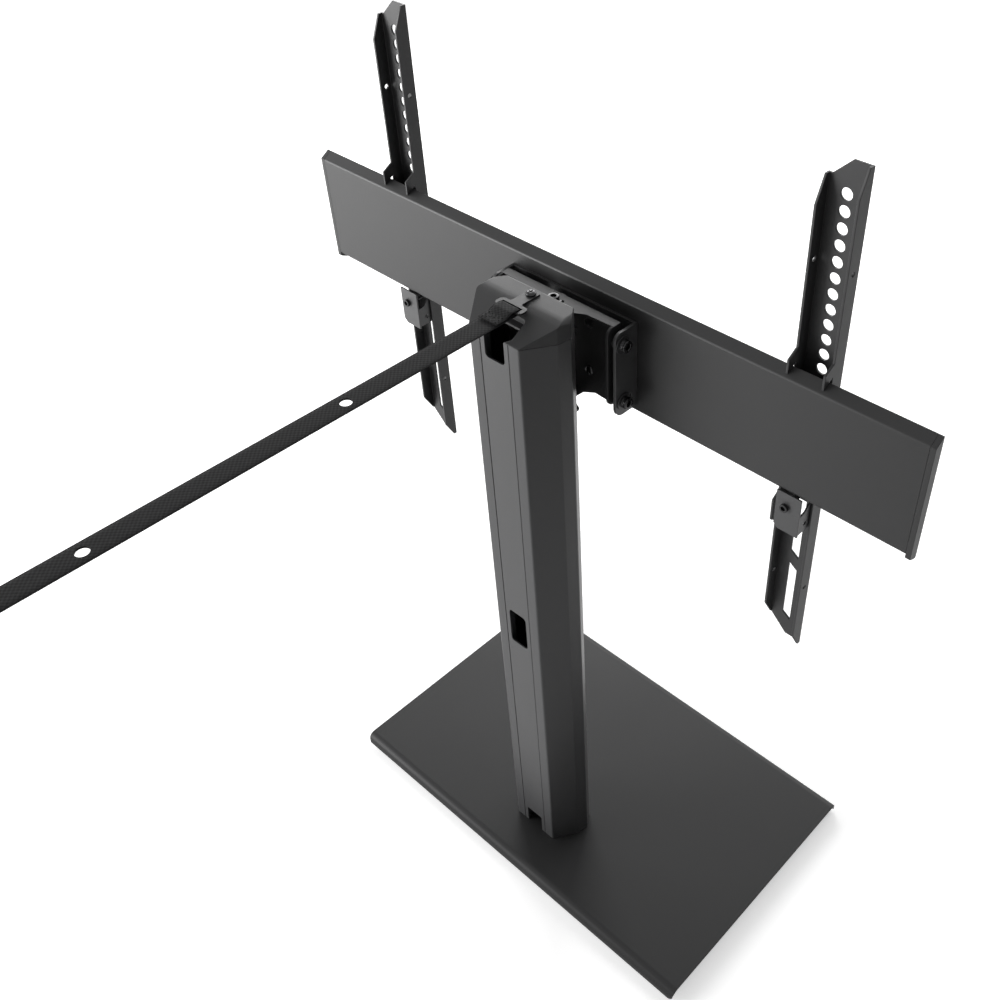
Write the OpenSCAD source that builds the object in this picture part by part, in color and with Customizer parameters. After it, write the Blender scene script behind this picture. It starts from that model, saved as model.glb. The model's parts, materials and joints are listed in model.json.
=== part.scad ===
/* [Base] */
// Length of the base plate from side to side
base_w = 496; // [440:2:600]
// Depth of the base plate from front to back
base_d = 310; // [280:2:380]
// Height of the base plate's top above the floor
base_h = 16; // [15.5:0.5:22]
// Thickness of the base plate's sheet
base_t = 3; // [2:0.25:4]
// Outer radius of the rolled front and rear edges
base_roll_r = 11; // [6:0.5:12]
// Straight height of the edge below its roll
base_lip_h = 1; // [0.5:0.25:3]
// Radius of the base plate's corners, seen from above
base_corner_r = 5; // [2:0.5:12]
// Radius of a rubber foot
foot_r = 15; // [8:0.5:20]
// Distance from a foot's centre to the plate's edges
foot_inset = 34; // [24:1:50]

/* [Pillar] */
// Distance from the base's centre back to the pillar's rear face
pillar_rear_y = 105; // [95:1:120]
// Height of the pillar above the base plate
pillar_h = 683.5; // [600:0.5:900]
// Depth of the pillar from front to back
pillar_d = 54; // [50:0.5:60]
// Width of the pillar at its widest
pillar_w = 94; // [90:1:110]
// Width of the pillar's rear face
pillar_rear_w = 56; // [52:1:64]
// Width of the pillar's front face
pillar_front_w = 72; // [68:1:80]
// Wall thickness of the pillar
pillar_t = 2.5; // [2:0.25:3]
// Width of the cable cover in the rear face
cover_w = 33; // [30:0.5:36]
// Width of the cable windows in the cover
window_w = 22; // [18:0.5:24]
// Height of the middle cable window
window_h = 44.3; // [30:0.1:60]
// Height of the middle window's lower edge above the base plate
window_z = 321; // [200:1:500]
// Height of the notch at the cover's foot
notch_h = 25.5; // [15:0.5:40]
// Depth of the window at the cover's top
top_window_h = 22.5; // [15:0.5:30]

/* [Cap] */
// Height of the cap on the pillar
cap_h = 17.5; // [15:0.5:24]
// Wall thickness of the cap
cap_t = 2; // [1.5:0.25:3]
// Height of the cap's rear edge above the pillar
cap_lip_h = 0.8; // [0.5:0.1:3]
// Rise of the cap's rear slope for each unit of depth
cap_slope_share = 0.54; // [0.45:0.01:0.62]

/* [Head] */
// Distance from the base's centre back to the swivel axis
swivel_y = 37.2; // [36.5:0.1:38]
// Width of the swivel bracket
swivel_w = 126; // [122:1:140]
// Sheet thickness of the swivel bracket
swivel_t = 2.5; // [2:0.25:2.75]
// Largest swivel to each side
swivel_max = 20; // [10:1:20]
// Gap between the swivel bracket's and the tilt bracket's sides
tilt_side_gap = 4; // [3:0.5:6]
// Height of the tilt bracket
tilt_bracket_h = 81.4; // [78:0.2:86]
// Sheet thickness of the tilt bracket's sides
tilt_side_t = 3; // [2:0.25:4]
// Sheet thickness of the bracket that is fixed on the pillar
mount_t = 3; // [2.5:0.25:4]

/* [Rail] */
// Full length of the rail with its end caps
rail_w = 666; // [640:2:900]
// Height of the rail's flat web
rail_web_h = 100.5; // [96:0.5:110]
// Sheet thickness of the rail
rail_t = 2.2; // [1.5:0.1:2.5]
// Height of the rail's upper bend above the pillar
rail_rise = 12.5; // [8:0.5:20]
// Depth of the rail's sloping lips
rail_lip_d = 9.5; // [8:0.25:11]
// Height of the rail's sloping lips
rail_lip_h = 6; // [4:0.25:7]
// Thickness of the rail's end caps
end_cap_t = 4.5; // [3:0.5:8]

/* [Arms] */
// Distance between the two arms' centrelines
arm_spacing = 449.6; // [300:0.2:560]
// Length of an arm from top to bottom
arm_h = 451; // [440:1:520]
// Height of an arm's top above the rail's upper bend
arm_rise = 164; // [160:1:200]
// Width of an arm
arm_w = 33; // [32:0.5:38]
// Depth of an arm from front to back
arm_d = 13.3; // [12:0.1:15]
// Sheet thickness of an arm
arm_t = 2; // [1.8:0.1:2.4]
// Radius of the screw holes in an arm
arm_hole_r = 4.5; // [3:0.25:5]
// Distance from one screw hole to the next
arm_hole_pitch = 12.5; // [11:0.25:13]
// Number of screw holes in a row
arm_hole_count = 12; // [4:1:12]
// Width of the long slots in an arm
arm_slot_w = 8; // [7:0.25:9]

/* [Locks] */
// Sheet thickness of a lock
lock_t = 1.6; // [1.2:0.1:2]
// Height of a lock's rear plate
lock_h = 39; // [34:0.5:42]
// Distance that a lock slides up behind the rail
lock_travel = 6; // [4:0.5:6]

/* [Strap] */
// Width of the strap
strap_w = 20.2; // [16:0.2:21]
// Thickness of the strap
strap_t = 1.6; // [1:0.1:2]
// Radius of the strap's eyelets
eyelet_r = 4.75; // [3:0.25:6]
// Thickness of the strap's clip
clip_t = 1.5; // [1:0.1:1.8]

/* [Hidden] */
$fn = 48;
coat = "#3c3c3f";
coat_light = "#6a6a6d";
rubber_black = "#1d1d1f";
zinc = "#55565a";

// Overrun of every cut, clearance of running fits, of screws in their holes, and between sliding sheets
over = 1;
run_gap = 0.05;
screw_gap = 0.1;
slide_gap = 0.1;
part_gap = 0.3;
arc_steps = 5;

// Heights that the pillar and the rail set
pillar_top = base_h + pillar_h;
cap_top = pillar_top + cap_h;
rail_top = pillar_top + rail_rise;
rail_low = rail_top - rail_web_h;

// Pillar section, measured from the middle of its rear face
pillar_side_w_share = 0.957;
pillar_chamfer_d_share = 0.472;
pillar_belly_d_share = 0.722;
pillar_half = [[pillar_rear_w / 2, 0],
    [pillar_w * pillar_side_w_share / 2, -pillar_d * pillar_chamfer_d_share],
    [pillar_w / 2, -pillar_d * pillar_belly_d_share],
    [pillar_front_w / 2, -pillar_d]];
pillar_outline = [for (p = both_sides(pillar_half)) [p[0], pillar_rear_y + p[1]]];
pillar_front_y = pillar_rear_y - pillar_d;
pillar_corner_r = 3;
pillar_inner_r = 1;

// Screw ports inside the pillar, and the screws from below
port_r = 6.5;
port_front_x = 30;
port_front_in = 7.5;
port_rear_x = 28;
port_rear_in = 13;
port_places = [for (s = [-1, 1]) each [[s * port_front_x, pillar_front_y + port_front_in],
    [s * port_rear_x, pillar_rear_y - port_rear_in]]];
foot_screw_r = 3;
foot_screw_head_r = 5.2;
foot_screw_head_h = 3.4;
foot_screw_reach = 24;
foot_bevel = 1.5;

// Cable cover
cover_t = 2;
cover_gap = 0.2;
cover_groove = 0.7;
cover_leg_t = 1.5;
cover_leg_d = 7;
cover_leg_inset = 1.6;
cover_hook_d = 1.5;
cover_hook_reach = 3.2;
window_r = 4;

// Cap
cap_front_r = 2.5;
cap_knee_r = 27;
cap_shoulder_r = 6;
cap_tab_h = 9;
cap_tab_t = 2;
cap_tab_front = 16;
cap_tab_rear = 33;
cap_mouth_d = 14.3;
cap_mouth_straight = 10;
cap_mouth_end_w = 23;
cap_ledge_d = 6.7;
cap_ledge_r = 3.5;
cap_ledge_drop = 10;
cap_ledge_t = 2.5;
cap_ledge_side = 2;
cap_boss_r = 6;
cap_slope_z = pillar_top + cap_lip_h;
cap_ledge_z = cap_top - cap_ledge_drop;
cap_mouth_front_y = pillar_rear_y - cap_mouth_d;

// Strap clip and its screw
clip_screw_in = 11;
clip_screw_r = 2.5;
clip_screw_head_r = 4.3;
clip_screw_head_h = 2.6;
clip_screw_reach = 14;
cross_w_share = 0.25;
cross_l_share = 1.1;
clip_stem_w = 11;
clip_stem_front = 6;
clip_bar_in = 27.5;
clip_bar_d = 3.5;
clip_slot_d = 4;
clip_rear_bar_d = 3.2;
clip_side_w = 4.1;
clip_r = 2.2;
clip_ear_r = 4.2;
clip_screw_y = pillar_front_y + clip_screw_in;
clip_bar_y = pillar_front_y + clip_bar_in;
clip_top = cap_top + clip_t;

// Threaded block inside the pillar's top
block_w = 46;
block_d = 15;
block_h = 81;
mount_bolt_x = 15;
mount_bolt_drops = [28, 68];
mount_bolt_r = 3;
mount_bolt_head_r = 5;
mount_bolt_head_h = 4;
mount_bolt_reach = 11;

// Bracket on the pillar: its two ears carry the swivel bolt
mount_w = 60;
mount_drop = 9.5;
mount_h = 82.5;
mount_bend_r = 4;
mount_shoulder_d = 9;
mount_nose_w = 8;
mount_nose_d = 7;
mount_top = pillar_top - mount_drop;
mount_low = mount_top - mount_h;
mount_nose_y = swivel_y - mount_nose_d;

// Swivel bracket, with its bolt, bushes and stop
swivel_rise = 2.5;
swivel_h = 98;
swivel_web_back = 8.7;
swivel_side_reach = 4.8;
swivel_side_h = 75;
swivel_side_r = 7;
swivel_flange_edge_back = 2.2;
swivel_flange_mid_w = 70;
swivel_flange_mid_back = 1.2;
swivel_flange_neck_w = 48;
swivel_flange_neck_reach = 4.8;
swivel_flange_r = 12;
swivel_tongue_w = 22;
swivel_arch_outer_w = 103;
swivel_arch_outer_rise = 16;
swivel_arch_w = 72;
swivel_arch_rise = 17;
swivel_arch_inner_w = 44;
swivel_arch_inner_rise = 11;
swivel_hole_x = 30;
swivel_hole_r = 4.5;
swivel_hole_drop = 14;
rivet_drop = 60;
swivel_top = pillar_top + swivel_rise;
swivel_low = swivel_top - swivel_h;
swivel_web_rear = swivel_y - swivel_web_back;
swivel_web_front = swivel_web_rear - swivel_t;
swivel_side_rear = swivel_y + swivel_side_reach;
swivel_side_low = swivel_top - swivel_side_h;
swivel_flange_steps = [[swivel_w / 2, swivel_y - swivel_flange_edge_back],
    [swivel_flange_mid_w / 2, swivel_y - swivel_flange_mid_back],
    [swivel_flange_neck_w / 2, swivel_y + swivel_flange_neck_reach]];
swivel_arch = [[swivel_arch_outer_w / 2, swivel_low + swivel_arch_outer_rise],
    [swivel_arch_w / 2, swivel_low + swivel_arch_rise],
    [swivel_arch_inner_w / 2, swivel_low + swivel_arch_inner_rise],
    [swivel_tongue_w / 2, swivel_low]];
swivel_hole_z = swivel_top - swivel_hole_drop;
rivet_z = swivel_top - rivet_drop;
rivet_r = 2.5;
rivet_head_r = 4.3;
rivet_head_h = 2.2;
swivel_bolt_r = 3.5;
swivel_bolt_head_r = 4.8;
swivel_bolt_head_h = 4;
swivel_nut_h = 5.5;
swivel_nut_r = 6.5;
bush_t = 1.9;
stop_reach = 7.4;
stop_r = 1.4;
stop_rise = 2;
stop_slot_gap = 0.25;

// Tilt pivot and tilt lock, on the swivel bracket's sides
tilt_back = 4.6;
tilt_drop = 12;
tilt_lock_back = 6.2;
tilt_lock_drop = 68.5;
tilt_y = swivel_y - tilt_back;
tilt_z = pillar_top - tilt_drop;
tilt_lock_y = swivel_y - tilt_lock_back;
tilt_lock_z = pillar_top - tilt_lock_drop;
tilt_forward_max = 7;
tilt_back_max = 3;
tilt_bolt_r = 3;
tilt_bolt_head_r = 5.3;
tilt_bolt_head_h = 5;
tilt_washer_r = 7.8;
tilt_washer_t = 1.2;
tilt_spacer_r = 5.2;
tilt_nut_r = 4;
tilt_nut_h = 3.5;
tilt_relief_w = 6;
tilt_relief_r = 5;
tilt_lock_arm = [tilt_lock_y - tilt_y, tilt_lock_z - tilt_z];
tilt_lock_dist = norm(tilt_lock_arm);
tilt_lock_rest = atan2(tilt_lock_arm[1], tilt_lock_arm[0]);

// Tilt bracket on the rail
tilt_inner_w = swivel_w + 2 * tilt_side_gap;
tilt_outer_w = tilt_inner_w + 2 * tilt_side_t;
tilt_web_t = 2.5;
tilt_side_reach = 3.3;
tilt_top_drop = 0.5;
tilt_side_rear = swivel_y + tilt_side_reach;
tilt_top = pillar_top - tilt_top_drop;
tilt_low = tilt_top - tilt_bracket_h;
tilt_top_r = 6.5;
tilt_low_r = 9;
rail_back = 23.2;
rail_rear = swivel_y - rail_back;
rail_bend_r = 3;
rail_bolt_x = 40;
rail_bolt_drops = [14.5, 47.5];
rail_bolt_r = 3;
rail_bolt_head_r = 5.5;
rail_bolt_head_h = 2.4;
rail_nut_h = 4;
rail_nut_r = 5.8;

// Rail end caps
end_foot_h = 4;
end_foot_slope_h = 4.5;
end_foot_r = 2;
end_plug_w = 8;
end_plug_d = 5;
end_plug_gap = 4;

// Arms, measured from the rail's bends and rear face
arm_reach = 26.2;
arm_front = rail_rear - arm_reach;
arm_web_rear = arm_front + arm_t;
arm_rear = arm_front + arm_d;
arm_top = rail_top + arm_rise;
arm_low = arm_top - arm_h;
arm_top_flat = 15;
arm_top_cut = 14.2;
arm_top_cut_h = 13.3;
arm_nose_d = 5;
arm_nose_h = 19;
arm_low_cut_h = 18;
arm_tip_h = 3;
arm_web_low = arm_low + arm_tip_h;
arm_tail_d = 3.3;
arm_tail_h = 18;
arm_hook_d = 10.2;
arm_hook_h = 20;
arm_hook_top = rail_top + arm_hook_h;
arm_hook_slope_h = 6;
hook_gap = 0.1;
arm_hole_drop = 24.4;
arm_pin_r = 2;
arm_pin_back = 5;
arm_pin_drops = [75, 375];
arm_ear_d = 8.2;
arm_ear_drop = 48.5;
arm_ear_low = rail_low - arm_ear_drop;
arm_ear_h = 21;
arm_ear_taper = 6;
arm_slot_drop = 2.7;
arm_slot_slant = 5.9;
arm_slot_share = 0.5175;
arm_low_slot_top_share = 0.4445;
arm_low_slot_share = 0.117;
arm_drop = rail_low - arm_low;
arm_slot_top = rail_low - arm_slot_drop;
arm_slot_low = arm_low + arm_drop * arm_slot_share;
arm_low_slot_top = arm_low + arm_drop * arm_low_slot_top_share;
arm_low_slot_low = arm_low + arm_drop * arm_low_slot_share;

// Locks
lock_plate_drop = 40.5;
lock_plate_low = rail_low - lock_plate_drop;
lock_plate_edge = 8.8;
lock_wall_x = arm_w / 2 - arm_t - part_gap;
lock_plate_front = rail_rear + 2 * slide_gap;
lock_plate_rear = lock_plate_front + lock_t;
lock_corner = 4;
lock_screw_drop = 15.5;
lock_screw_z = rail_low - lock_screw_drop;
lock_screw_r = 2.5;
lock_screw_head_r = 3.8;
lock_screw_head_h = 2.8;
lock_base_w = 24;
lock_base_low = 8;
lock_base_h = 15;
lock_wall_drop = 38.5;
lock_wall_low = rail_low - lock_wall_drop;
lock_wall_rise = 7;
lock_wall_mid_d = 6.4;
lock_wall_mid_drop = 17.5;
lock_wall_rear_drop = 19;
lock_hole_in = 8;
lock_hole_drop = 30.5;
lock_hole_y = rail_rear - lock_hole_in;
lock_hole_z = rail_low - lock_hole_drop;
lock_hole_r = 2;
lock_nut_w = 12;
lock_nut_h = 14;
lock_nut_flange_t = 0.9;
lock_nut_stem_h = 10;
lock_pocket_d = 1.1;

// Strap: its route from the sewn end round the clip's rear bar to the anchor, as depth and height
strap_drop = 2;
strap_lift = 0.9;
strap_fold_gap = 1.9;
strap_turn_in = 2.2;
strap_slope_start = 8.8;
strap_slope_end = 14.8;
strap_fold_l = 25.3;
strap_reach = 414;
strap_turn_r = 2;
strap_slope_r = 5;
eyelet_reaches = [140.1, 338.3];
anchor_reach = 417;
anchor_d = 19;
anchor_t = 2;
anchor_h = 26;
anchor_bend_r = 3;
anchor_screw_in = 11;
anchor_screw_r = 2;
anchor_screw_head_r = 4;
anchor_screw_head_h = 2.2;
anchor_screw_reach = 7;
anchor_hole_r = 2.6;
anchor_hole_drop = 16;
strap_z = cap_top - strap_drop;
strap_low = strap_z - strap_t / 2;
strap_high = strap_z + strap_t / 2;
strap_over_z = clip_top + strap_lift;
strap_fold_z = strap_z + strap_fold_gap;
strap_turn_y = clip_bar_y + clip_bar_d + strap_turn_in;
strap_route = [[strap_turn_y + strap_fold_l, strap_fold_z], [strap_turn_y + strap_slope_end, strap_fold_z],
    [strap_turn_y + strap_slope_start, strap_over_z], [strap_turn_y, strap_over_z],
    [strap_turn_y, strap_z], [pillar_rear_y + strap_reach, strap_z]];
strap_bends = [0, strap_slope_r, strap_slope_r, strap_turn_r, strap_turn_r, 0];
anchor_rear_y = pillar_rear_y + anchor_reach;
anchor_front_y = anchor_rear_y - anchor_d;
anchor_screw_y = anchor_rear_y - anchor_screw_in;

// Plane geometry: unit vectors, rounded corners, outlines moved inwards, and bent sheets
function unit(v) = v / norm(v);
function left_of(v) = [-v[1], v[0]] / norm(v);
function corner(a, b, c, r) = r == 0 ? [b] :
    let (u = unit(a - b), w = unit(c - b), half = acos(u * w) / 2,
        reach = r / tan(half), centre = b + unit(u + w) * r / sin(half),
        start = b + u * reach - centre, end = b + w * reach - centre,
        first = atan2(start[1], start[0]),
        turn = (atan2(end[1], end[0]) - first + 540) % 360 - 180)
    [for (i = [0:arc_steps]) let (at = first + turn * i / arc_steps) centre + r * [cos(at), sin(at)]];
function rounded(points, radii) = let (n = len(points))
    [for (i = [0:n - 1]) each corner(points[(i + n - 1) % n], points[i], points[(i + 1) % n], radii[i])];
function all_rounded(points, r) = rounded(points, [for (p = points) r]);
function inset_corner(a, b, c, t) = let (u = unit(a - b), w = unit(c - b))
    b + unit(u + w) * t / sin(acos(u * w) / 2);
function inset(points, t) = let (n = len(points))
    [for (i = [0:n - 1]) inset_corner(points[(i + n - 1) % n], points[i], points[(i + 1) % n], t)];
function both_sides(half) = concat(half, [for (i = [len(half) - 1:-1:0]) [-half[i][0], half[i][1]]]);
function face_point(p, i, t) =
    i == 0 ? p[0] + t * left_of(p[1] - p[0]) :
    i == len(p) - 1 ? p[i] + t * left_of(p[i] - p[i - 1]) :
    let (a = left_of(p[i] - p[i - 1]), b = left_of(p[i + 1] - p[i])) p[i] + t * (a + b) / (1 + a * b);
function sheet(p, near, far) = concat([for (i = [0:len(p) - 1]) face_point(p, i, near)],
    [for (i = [len(p) - 1:-1:0]) face_point(p, i, far)]);
function box_points(x0, y0, x1, y1) = [[x0, y0], [x1, y0], [x1, y1], [x0, y1]];
function lip_z(y) = rail_top + (rail_rear - y) * rail_lip_h / rail_lip_d;

// Extrusions of a flat outline along each axis, and round bars and bores along X and Y
module along_x(low, high) {
    translate([low, 0, 0]) rotate([90, 0, 90]) linear_extrude(high - low) children();
}
module along_y(front, rear) {
    translate([0, rear, 0]) rotate([90, 0, 0]) linear_extrude(rear - front) children();
}
module along_z(low, high) {
    translate([0, 0, low]) linear_extrude(high - low) children();
}
module bar_x(low, high, y, z, r) {
    translate([low, y, z]) rotate([0, 90, 0]) cylinder(h = high - low, r = r);
}
module bar_y(front, rear, x, z, r) {
    translate([x, front, z]) rotate([-90, 0, 0]) cylinder(h = rear - front, r = r);
}

// A screw that points down from the underside of its head, with a hexagon socket
socket_share = 0.58;
socket_floor_share = 0.33;
module socket_screw(head_r, head_h, shank_r, reach) {
    difference() {
        union() {
            cylinder(h = head_h, r = head_r);
            translate([0, 0, -reach]) cylinder(h = reach, r = shank_r);
        }
        translate([0, 0, head_h * socket_floor_share])
            cylinder(h = head_h, r = head_r * socket_share, $fn = 6);
    }
}

// A hexagon nut that stands up from its seat
module hex_nut(r, h, bore) {
    difference() {
        cylinder(h = h, r = r, $fn = 6);
        translate([0, 0, -over]) cylinder(h = h + 2 * over, r = bore);
    }
}

module base_plate() {
    edge_y = base_d / 2;
    lip_z = base_h - base_roll_r - base_lip_h;
    section = rounded([[edge_y, lip_z], [edge_y, base_h], [-edge_y, base_h], [-edge_y, lip_z]],
        [0, base_roll_r, base_roll_r, 0]);
    outline = box_points(-base_w / 2, -edge_y, base_w / 2, edge_y);
    color(coat)
    difference() {
        intersection() {
            along_x(-base_w / 2, base_w / 2) polygon(sheet(section, 0, base_t));
            along_z(0, base_h + over) polygon(all_rounded(outline, base_corner_r));
        }
        for (p = port_places)
            translate([p[0], p[1], 0]) cylinder(h = base_h + over, r = foot_screw_r + screw_gap);
    }
}

module base_feet() {
    h = base_h - base_t;
    section = [[0, 0], [foot_r - foot_bevel, 0], [foot_r, foot_bevel], [foot_r, h], [0, h]];
    color(rubber_black)
    for (sx = [-1, 1], sy = [-1, 1])
        translate([sx * (base_w / 2 - foot_inset), sy * (base_d / 2 - foot_inset), 0])
            rotate_extrude() polygon(section);
}

module foot_screws() {
    color(zinc)
    for (p = port_places)
        translate([p[0], p[1], base_h - base_t])
            mirror([0, 0, 1])
                socket_screw(foot_screw_head_r, foot_screw_head_h, foot_screw_r, foot_screw_reach);
}

module mount_bolt_bores(front, rear, r) {
    for (sx = [-1, 1], drop = mount_bolt_drops)
        bar_y(front, rear, sx * mount_bolt_x, pillar_top - drop, r);
}

module pillar_shell() {
    inner = inset(pillar_outline, pillar_t);
    color(coat)
    difference() {
        union() {
            along_z(base_h, pillar_top)
                difference() {
                    polygon(all_rounded(pillar_outline, pillar_corner_r));
                    polygon(all_rounded(inner, pillar_inner_r));
                }
            for (p = port_places) translate([p[0], p[1], base_h]) cylinder(h = pillar_h, r = port_r);
        }
        for (p = port_places)
            translate([p[0], p[1], base_h - over])
                cylinder(h = pillar_h + 2 * over, r = foot_screw_r + run_gap);
        along_z(base_h - over, pillar_top + over)
            polygon(box_points(-cover_w / 2, pillar_rear_y - pillar_t - over, cover_w / 2,
                pillar_rear_y + over));
        mount_bolt_bores(pillar_front_y - over, pillar_front_y + pillar_t + over,
            mount_bolt_r + screw_gap);
    }
}

module window(low, high, r_low, r_high) {
    outline = box_points(-window_w / 2, low, window_w / 2, high);
    along_y(pillar_rear_y - cover_t - over, pillar_rear_y + over)
        polygon(rounded(outline, [r_low, r_low, r_high, r_high]));
}

module cable_cover() {
    half_w = cover_w / 2 - cover_gap;
    back = pillar_rear_y - cover_t;
    leg_out = cover_w / 2 - cover_leg_inset;
    leg_in = leg_out - cover_leg_t;
    hook_y = pillar_rear_y - pillar_t - part_gap - cover_hook_d;
    half = [[half_w - cover_groove, pillar_rear_y], [half_w, pillar_rear_y - cover_groove],
        [half_w, back], [leg_out, back], [leg_out, hook_y + cover_hook_d],
        [leg_out + cover_hook_reach, hook_y], [leg_out, hook_y],
        [leg_out, back - cover_leg_d], [leg_in, back - cover_leg_d], [leg_in, back]];
    low = base_h;
    color(coat)
    difference() {
        along_z(low, pillar_top) polygon(both_sides(half));
        window(low - over, low + notch_h, 0, window_r / 2);
        window(low + window_z, low + window_z + window_h, window_r, window_r);
        window(pillar_top - top_window_h, pillar_top + over, window_r, 0);
    }
}

// Side view of the cap's outer face, or of its inside at depth t
function cap_profile(t, low) =
    let (rear = pillar_rear_y - t, drop = t * norm([1, cap_slope_share]),
        rear_z = cap_slope_z - drop + t * cap_slope_share,
        knee_y = rear - (cap_top - t - rear_z) / cap_slope_share)
    rounded([[pillar_front_y + t, low], [pillar_front_y + t, cap_top - t], [knee_y, cap_top - t],
        [rear, rear_z], [rear, low]], [0, cap_front_r, cap_knee_r, 0, 0]);

module cap_form(t, low) {
    half_w = pillar_w / 2;
    shoulders = rounded(box_points(-half_w, low, half_w, cap_top - t),
        [0, 0, cap_shoulder_r, cap_shoulder_r]);
    outline = t == 0 ? pillar_outline : inset(pillar_outline, t);
    intersection() {
        along_z(low, cap_top) polygon(all_rounded(outline, pillar_corner_r));
        along_x(-half_w, half_w) polygon(cap_profile(t, low));
        along_y(pillar_front_y, pillar_rear_y) polygon(shoulders);
    }
}

// A ring in the cap from depth t to the inner side of its tabs
module cap_ring(low, high, t) {
    along_z(low, high)
        difference() {
            polygon(inset(pillar_outline, t));
            polygon(inset(pillar_outline, pillar_t + slide_gap + cap_tab_t));
        }
}

module pillar_cap() {
    half_mouth = cover_w / 2;
    mouth_turn_y = cap_mouth_front_y + cap_mouth_straight;
    mouth = both_sides([[half_mouth, cap_mouth_front_y], [half_mouth, mouth_turn_y],
        [cap_mouth_end_w / 2, pillar_rear_y], [cap_mouth_end_w / 2, pillar_rear_y + over]]);
    ledge = box_points(-half_mouth, cap_mouth_front_y - cap_ledge_d, half_mouth, cap_mouth_front_y + over);
    color(coat)
    difference() {
        union() {
            difference() {
                cap_form(0, pillar_top);
                cap_form(cap_t, pillar_top - over);
            }
            intersection() {
                cap_form(0, pillar_top);
                along_x(-half_mouth - cap_ledge_side, half_mouth + cap_ledge_side)
                    polygon(box_points(cap_mouth_front_y - cap_ledge_d - cap_t, cap_ledge_z - cap_ledge_t,
                        cap_mouth_front_y, cap_top));
            }
            translate([0, clip_screw_y, pillar_top]) cylinder(h = cap_h - cap_t / 2, r = cap_boss_r);
            intersection() {
                union() {
                    cap_ring(pillar_top - cap_tab_h, pillar_top + cap_t, pillar_t + slide_gap);
                    cap_ring(pillar_top, pillar_top + cap_t, cap_t / 2);
                }
                along_x(-pillar_w, pillar_w)
                    polygon(box_points(pillar_front_y + cap_tab_front, pillar_top - pillar_d,
                        pillar_front_y + cap_tab_rear, pillar_top + cap_t));
            }
        }
        along_z(pillar_top - over, cap_top + over) polygon(mouth);
        along_z(cap_ledge_z, cap_top + over) polygon(rounded(ledge, [cap_ledge_r, cap_ledge_r, 0, 0]));
        translate([0, clip_screw_y, pillar_top - over])
            cylinder(h = cap_h + 2 * over, r = clip_screw_r + screw_gap);
    }
}

module strap_clip() {
    bar_rear = clip_bar_y + clip_bar_d;
    ring_rear = bar_rear + clip_slot_d + clip_rear_bar_d;
    slot_half = strap_w / 2 + 2 * part_gap;
    ring_half = slot_half + clip_side_w;
    half = [[clip_stem_w / 2, clip_screw_y - clip_stem_front], [clip_stem_w / 2, clip_bar_y],
        [ring_half, clip_bar_y], [ring_half, ring_rear]];
    corners = [clip_r, clip_r, clip_ear_r, clip_ear_r];
    outline = rounded(both_sides(half), [for (i = [0:7]) corners[min(i, 7 - i)]]);
    color(coat_light)
    difference() {
        along_z(cap_top, clip_top) polygon(outline);
        along_z(cap_top - over, clip_top + over)
            polygon(box_points(-slot_half, bar_rear, slot_half, bar_rear + clip_slot_d));
        translate([0, clip_screw_y, cap_top - over])
            cylinder(h = clip_t + 2 * over, r = clip_screw_r + screw_gap);
    }
}

module clip_screw() {
    reach = clip_top - pillar_top + clip_screw_reach;
    cross_w = clip_screw_head_r * cross_w_share;
    cross_l = clip_screw_head_r * cross_l_share;
    color(zinc)
    translate([0, clip_screw_y, clip_top])
    difference() {
        union() {
            rotate_extrude() polygon([[0, 0], [clip_screw_head_r, 0],
                [clip_screw_head_r, clip_screw_head_h / 2], [clip_screw_head_r / 2, clip_screw_head_h],
                [0, clip_screw_head_h]]);
            translate([0, 0, -reach]) cylinder(h = reach, r = clip_screw_r);
        }
        for (turn = [0, 90])
            rotate([0, 0, turn])
                translate([-cross_l / 2, -cross_w / 2, clip_screw_head_h / 3])
                    cube([cross_l, cross_w, clip_screw_head_h]);
    }
}

module head_block() {
    front = pillar_front_y + pillar_t;
    color(zinc)
    difference() {
        along_z(pillar_top - block_h, pillar_top)
            polygon(box_points(-block_w / 2, front, block_w / 2, front + block_d));
        mount_bolt_bores(front - over, front + mount_bolt_reach + over, mount_bolt_r + run_gap);
        translate([0, clip_screw_y, pillar_top - clip_screw_reach - over])
            cylinder(h = clip_screw_reach + 2 * over, r = clip_screw_r + run_gap);
    }
}

module head_mount() {
    section = rounded([[mount_nose_y, mount_low], [pillar_front_y, mount_low],
        [pillar_front_y, mount_top], [mount_nose_y, mount_top]], [0, mount_bend_r, mount_bend_r, 0]);
    plan = both_sides([[mount_w / 2, pillar_front_y], [mount_w / 2, pillar_front_y - mount_shoulder_d],
        [mount_nose_w / 2, mount_nose_y]]);
    color(coat_light)
    difference() {
        intersection() {
            along_x(-mount_w / 2, mount_w / 2) polygon(sheet(section, 0, mount_t));
            along_z(mount_low, mount_top) polygon(plan);
        }
        mount_bolt_bores(pillar_front_y - mount_t - over, pillar_front_y + over,
            mount_bolt_r + screw_gap);
        translate([0, swivel_y, mount_low - over])
            cylinder(h = mount_top - mount_low + 2 * over, r = swivel_bolt_r + run_gap);
        translate([-stop_reach, swivel_y, mount_top - mount_t - over])
            cylinder(h = mount_t + 2 * over, r = stop_r + run_gap);
    }
}

module head_mount_bolts() {
    seat = pillar_front_y - mount_t;
    color(zinc)
    for (sx = [-1, 1], drop = mount_bolt_drops)
        translate([sx * mount_bolt_x, seat, pillar_top - drop])
            rotate([90, 0, 0])
                socket_screw(mount_bolt_head_r, mount_bolt_head_h, mount_bolt_r,
                    mount_t + pillar_t + mount_bolt_reach);
}

module bush(low, high) {
    translate([0, swivel_y, low])
        difference() {
            cylinder(h = high - low, r = swivel_bolt_r + bush_t);
            translate([0, 0, -over]) cylinder(h = high - low + 2 * over, r = swivel_bolt_r + run_gap);
        }
}

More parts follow.
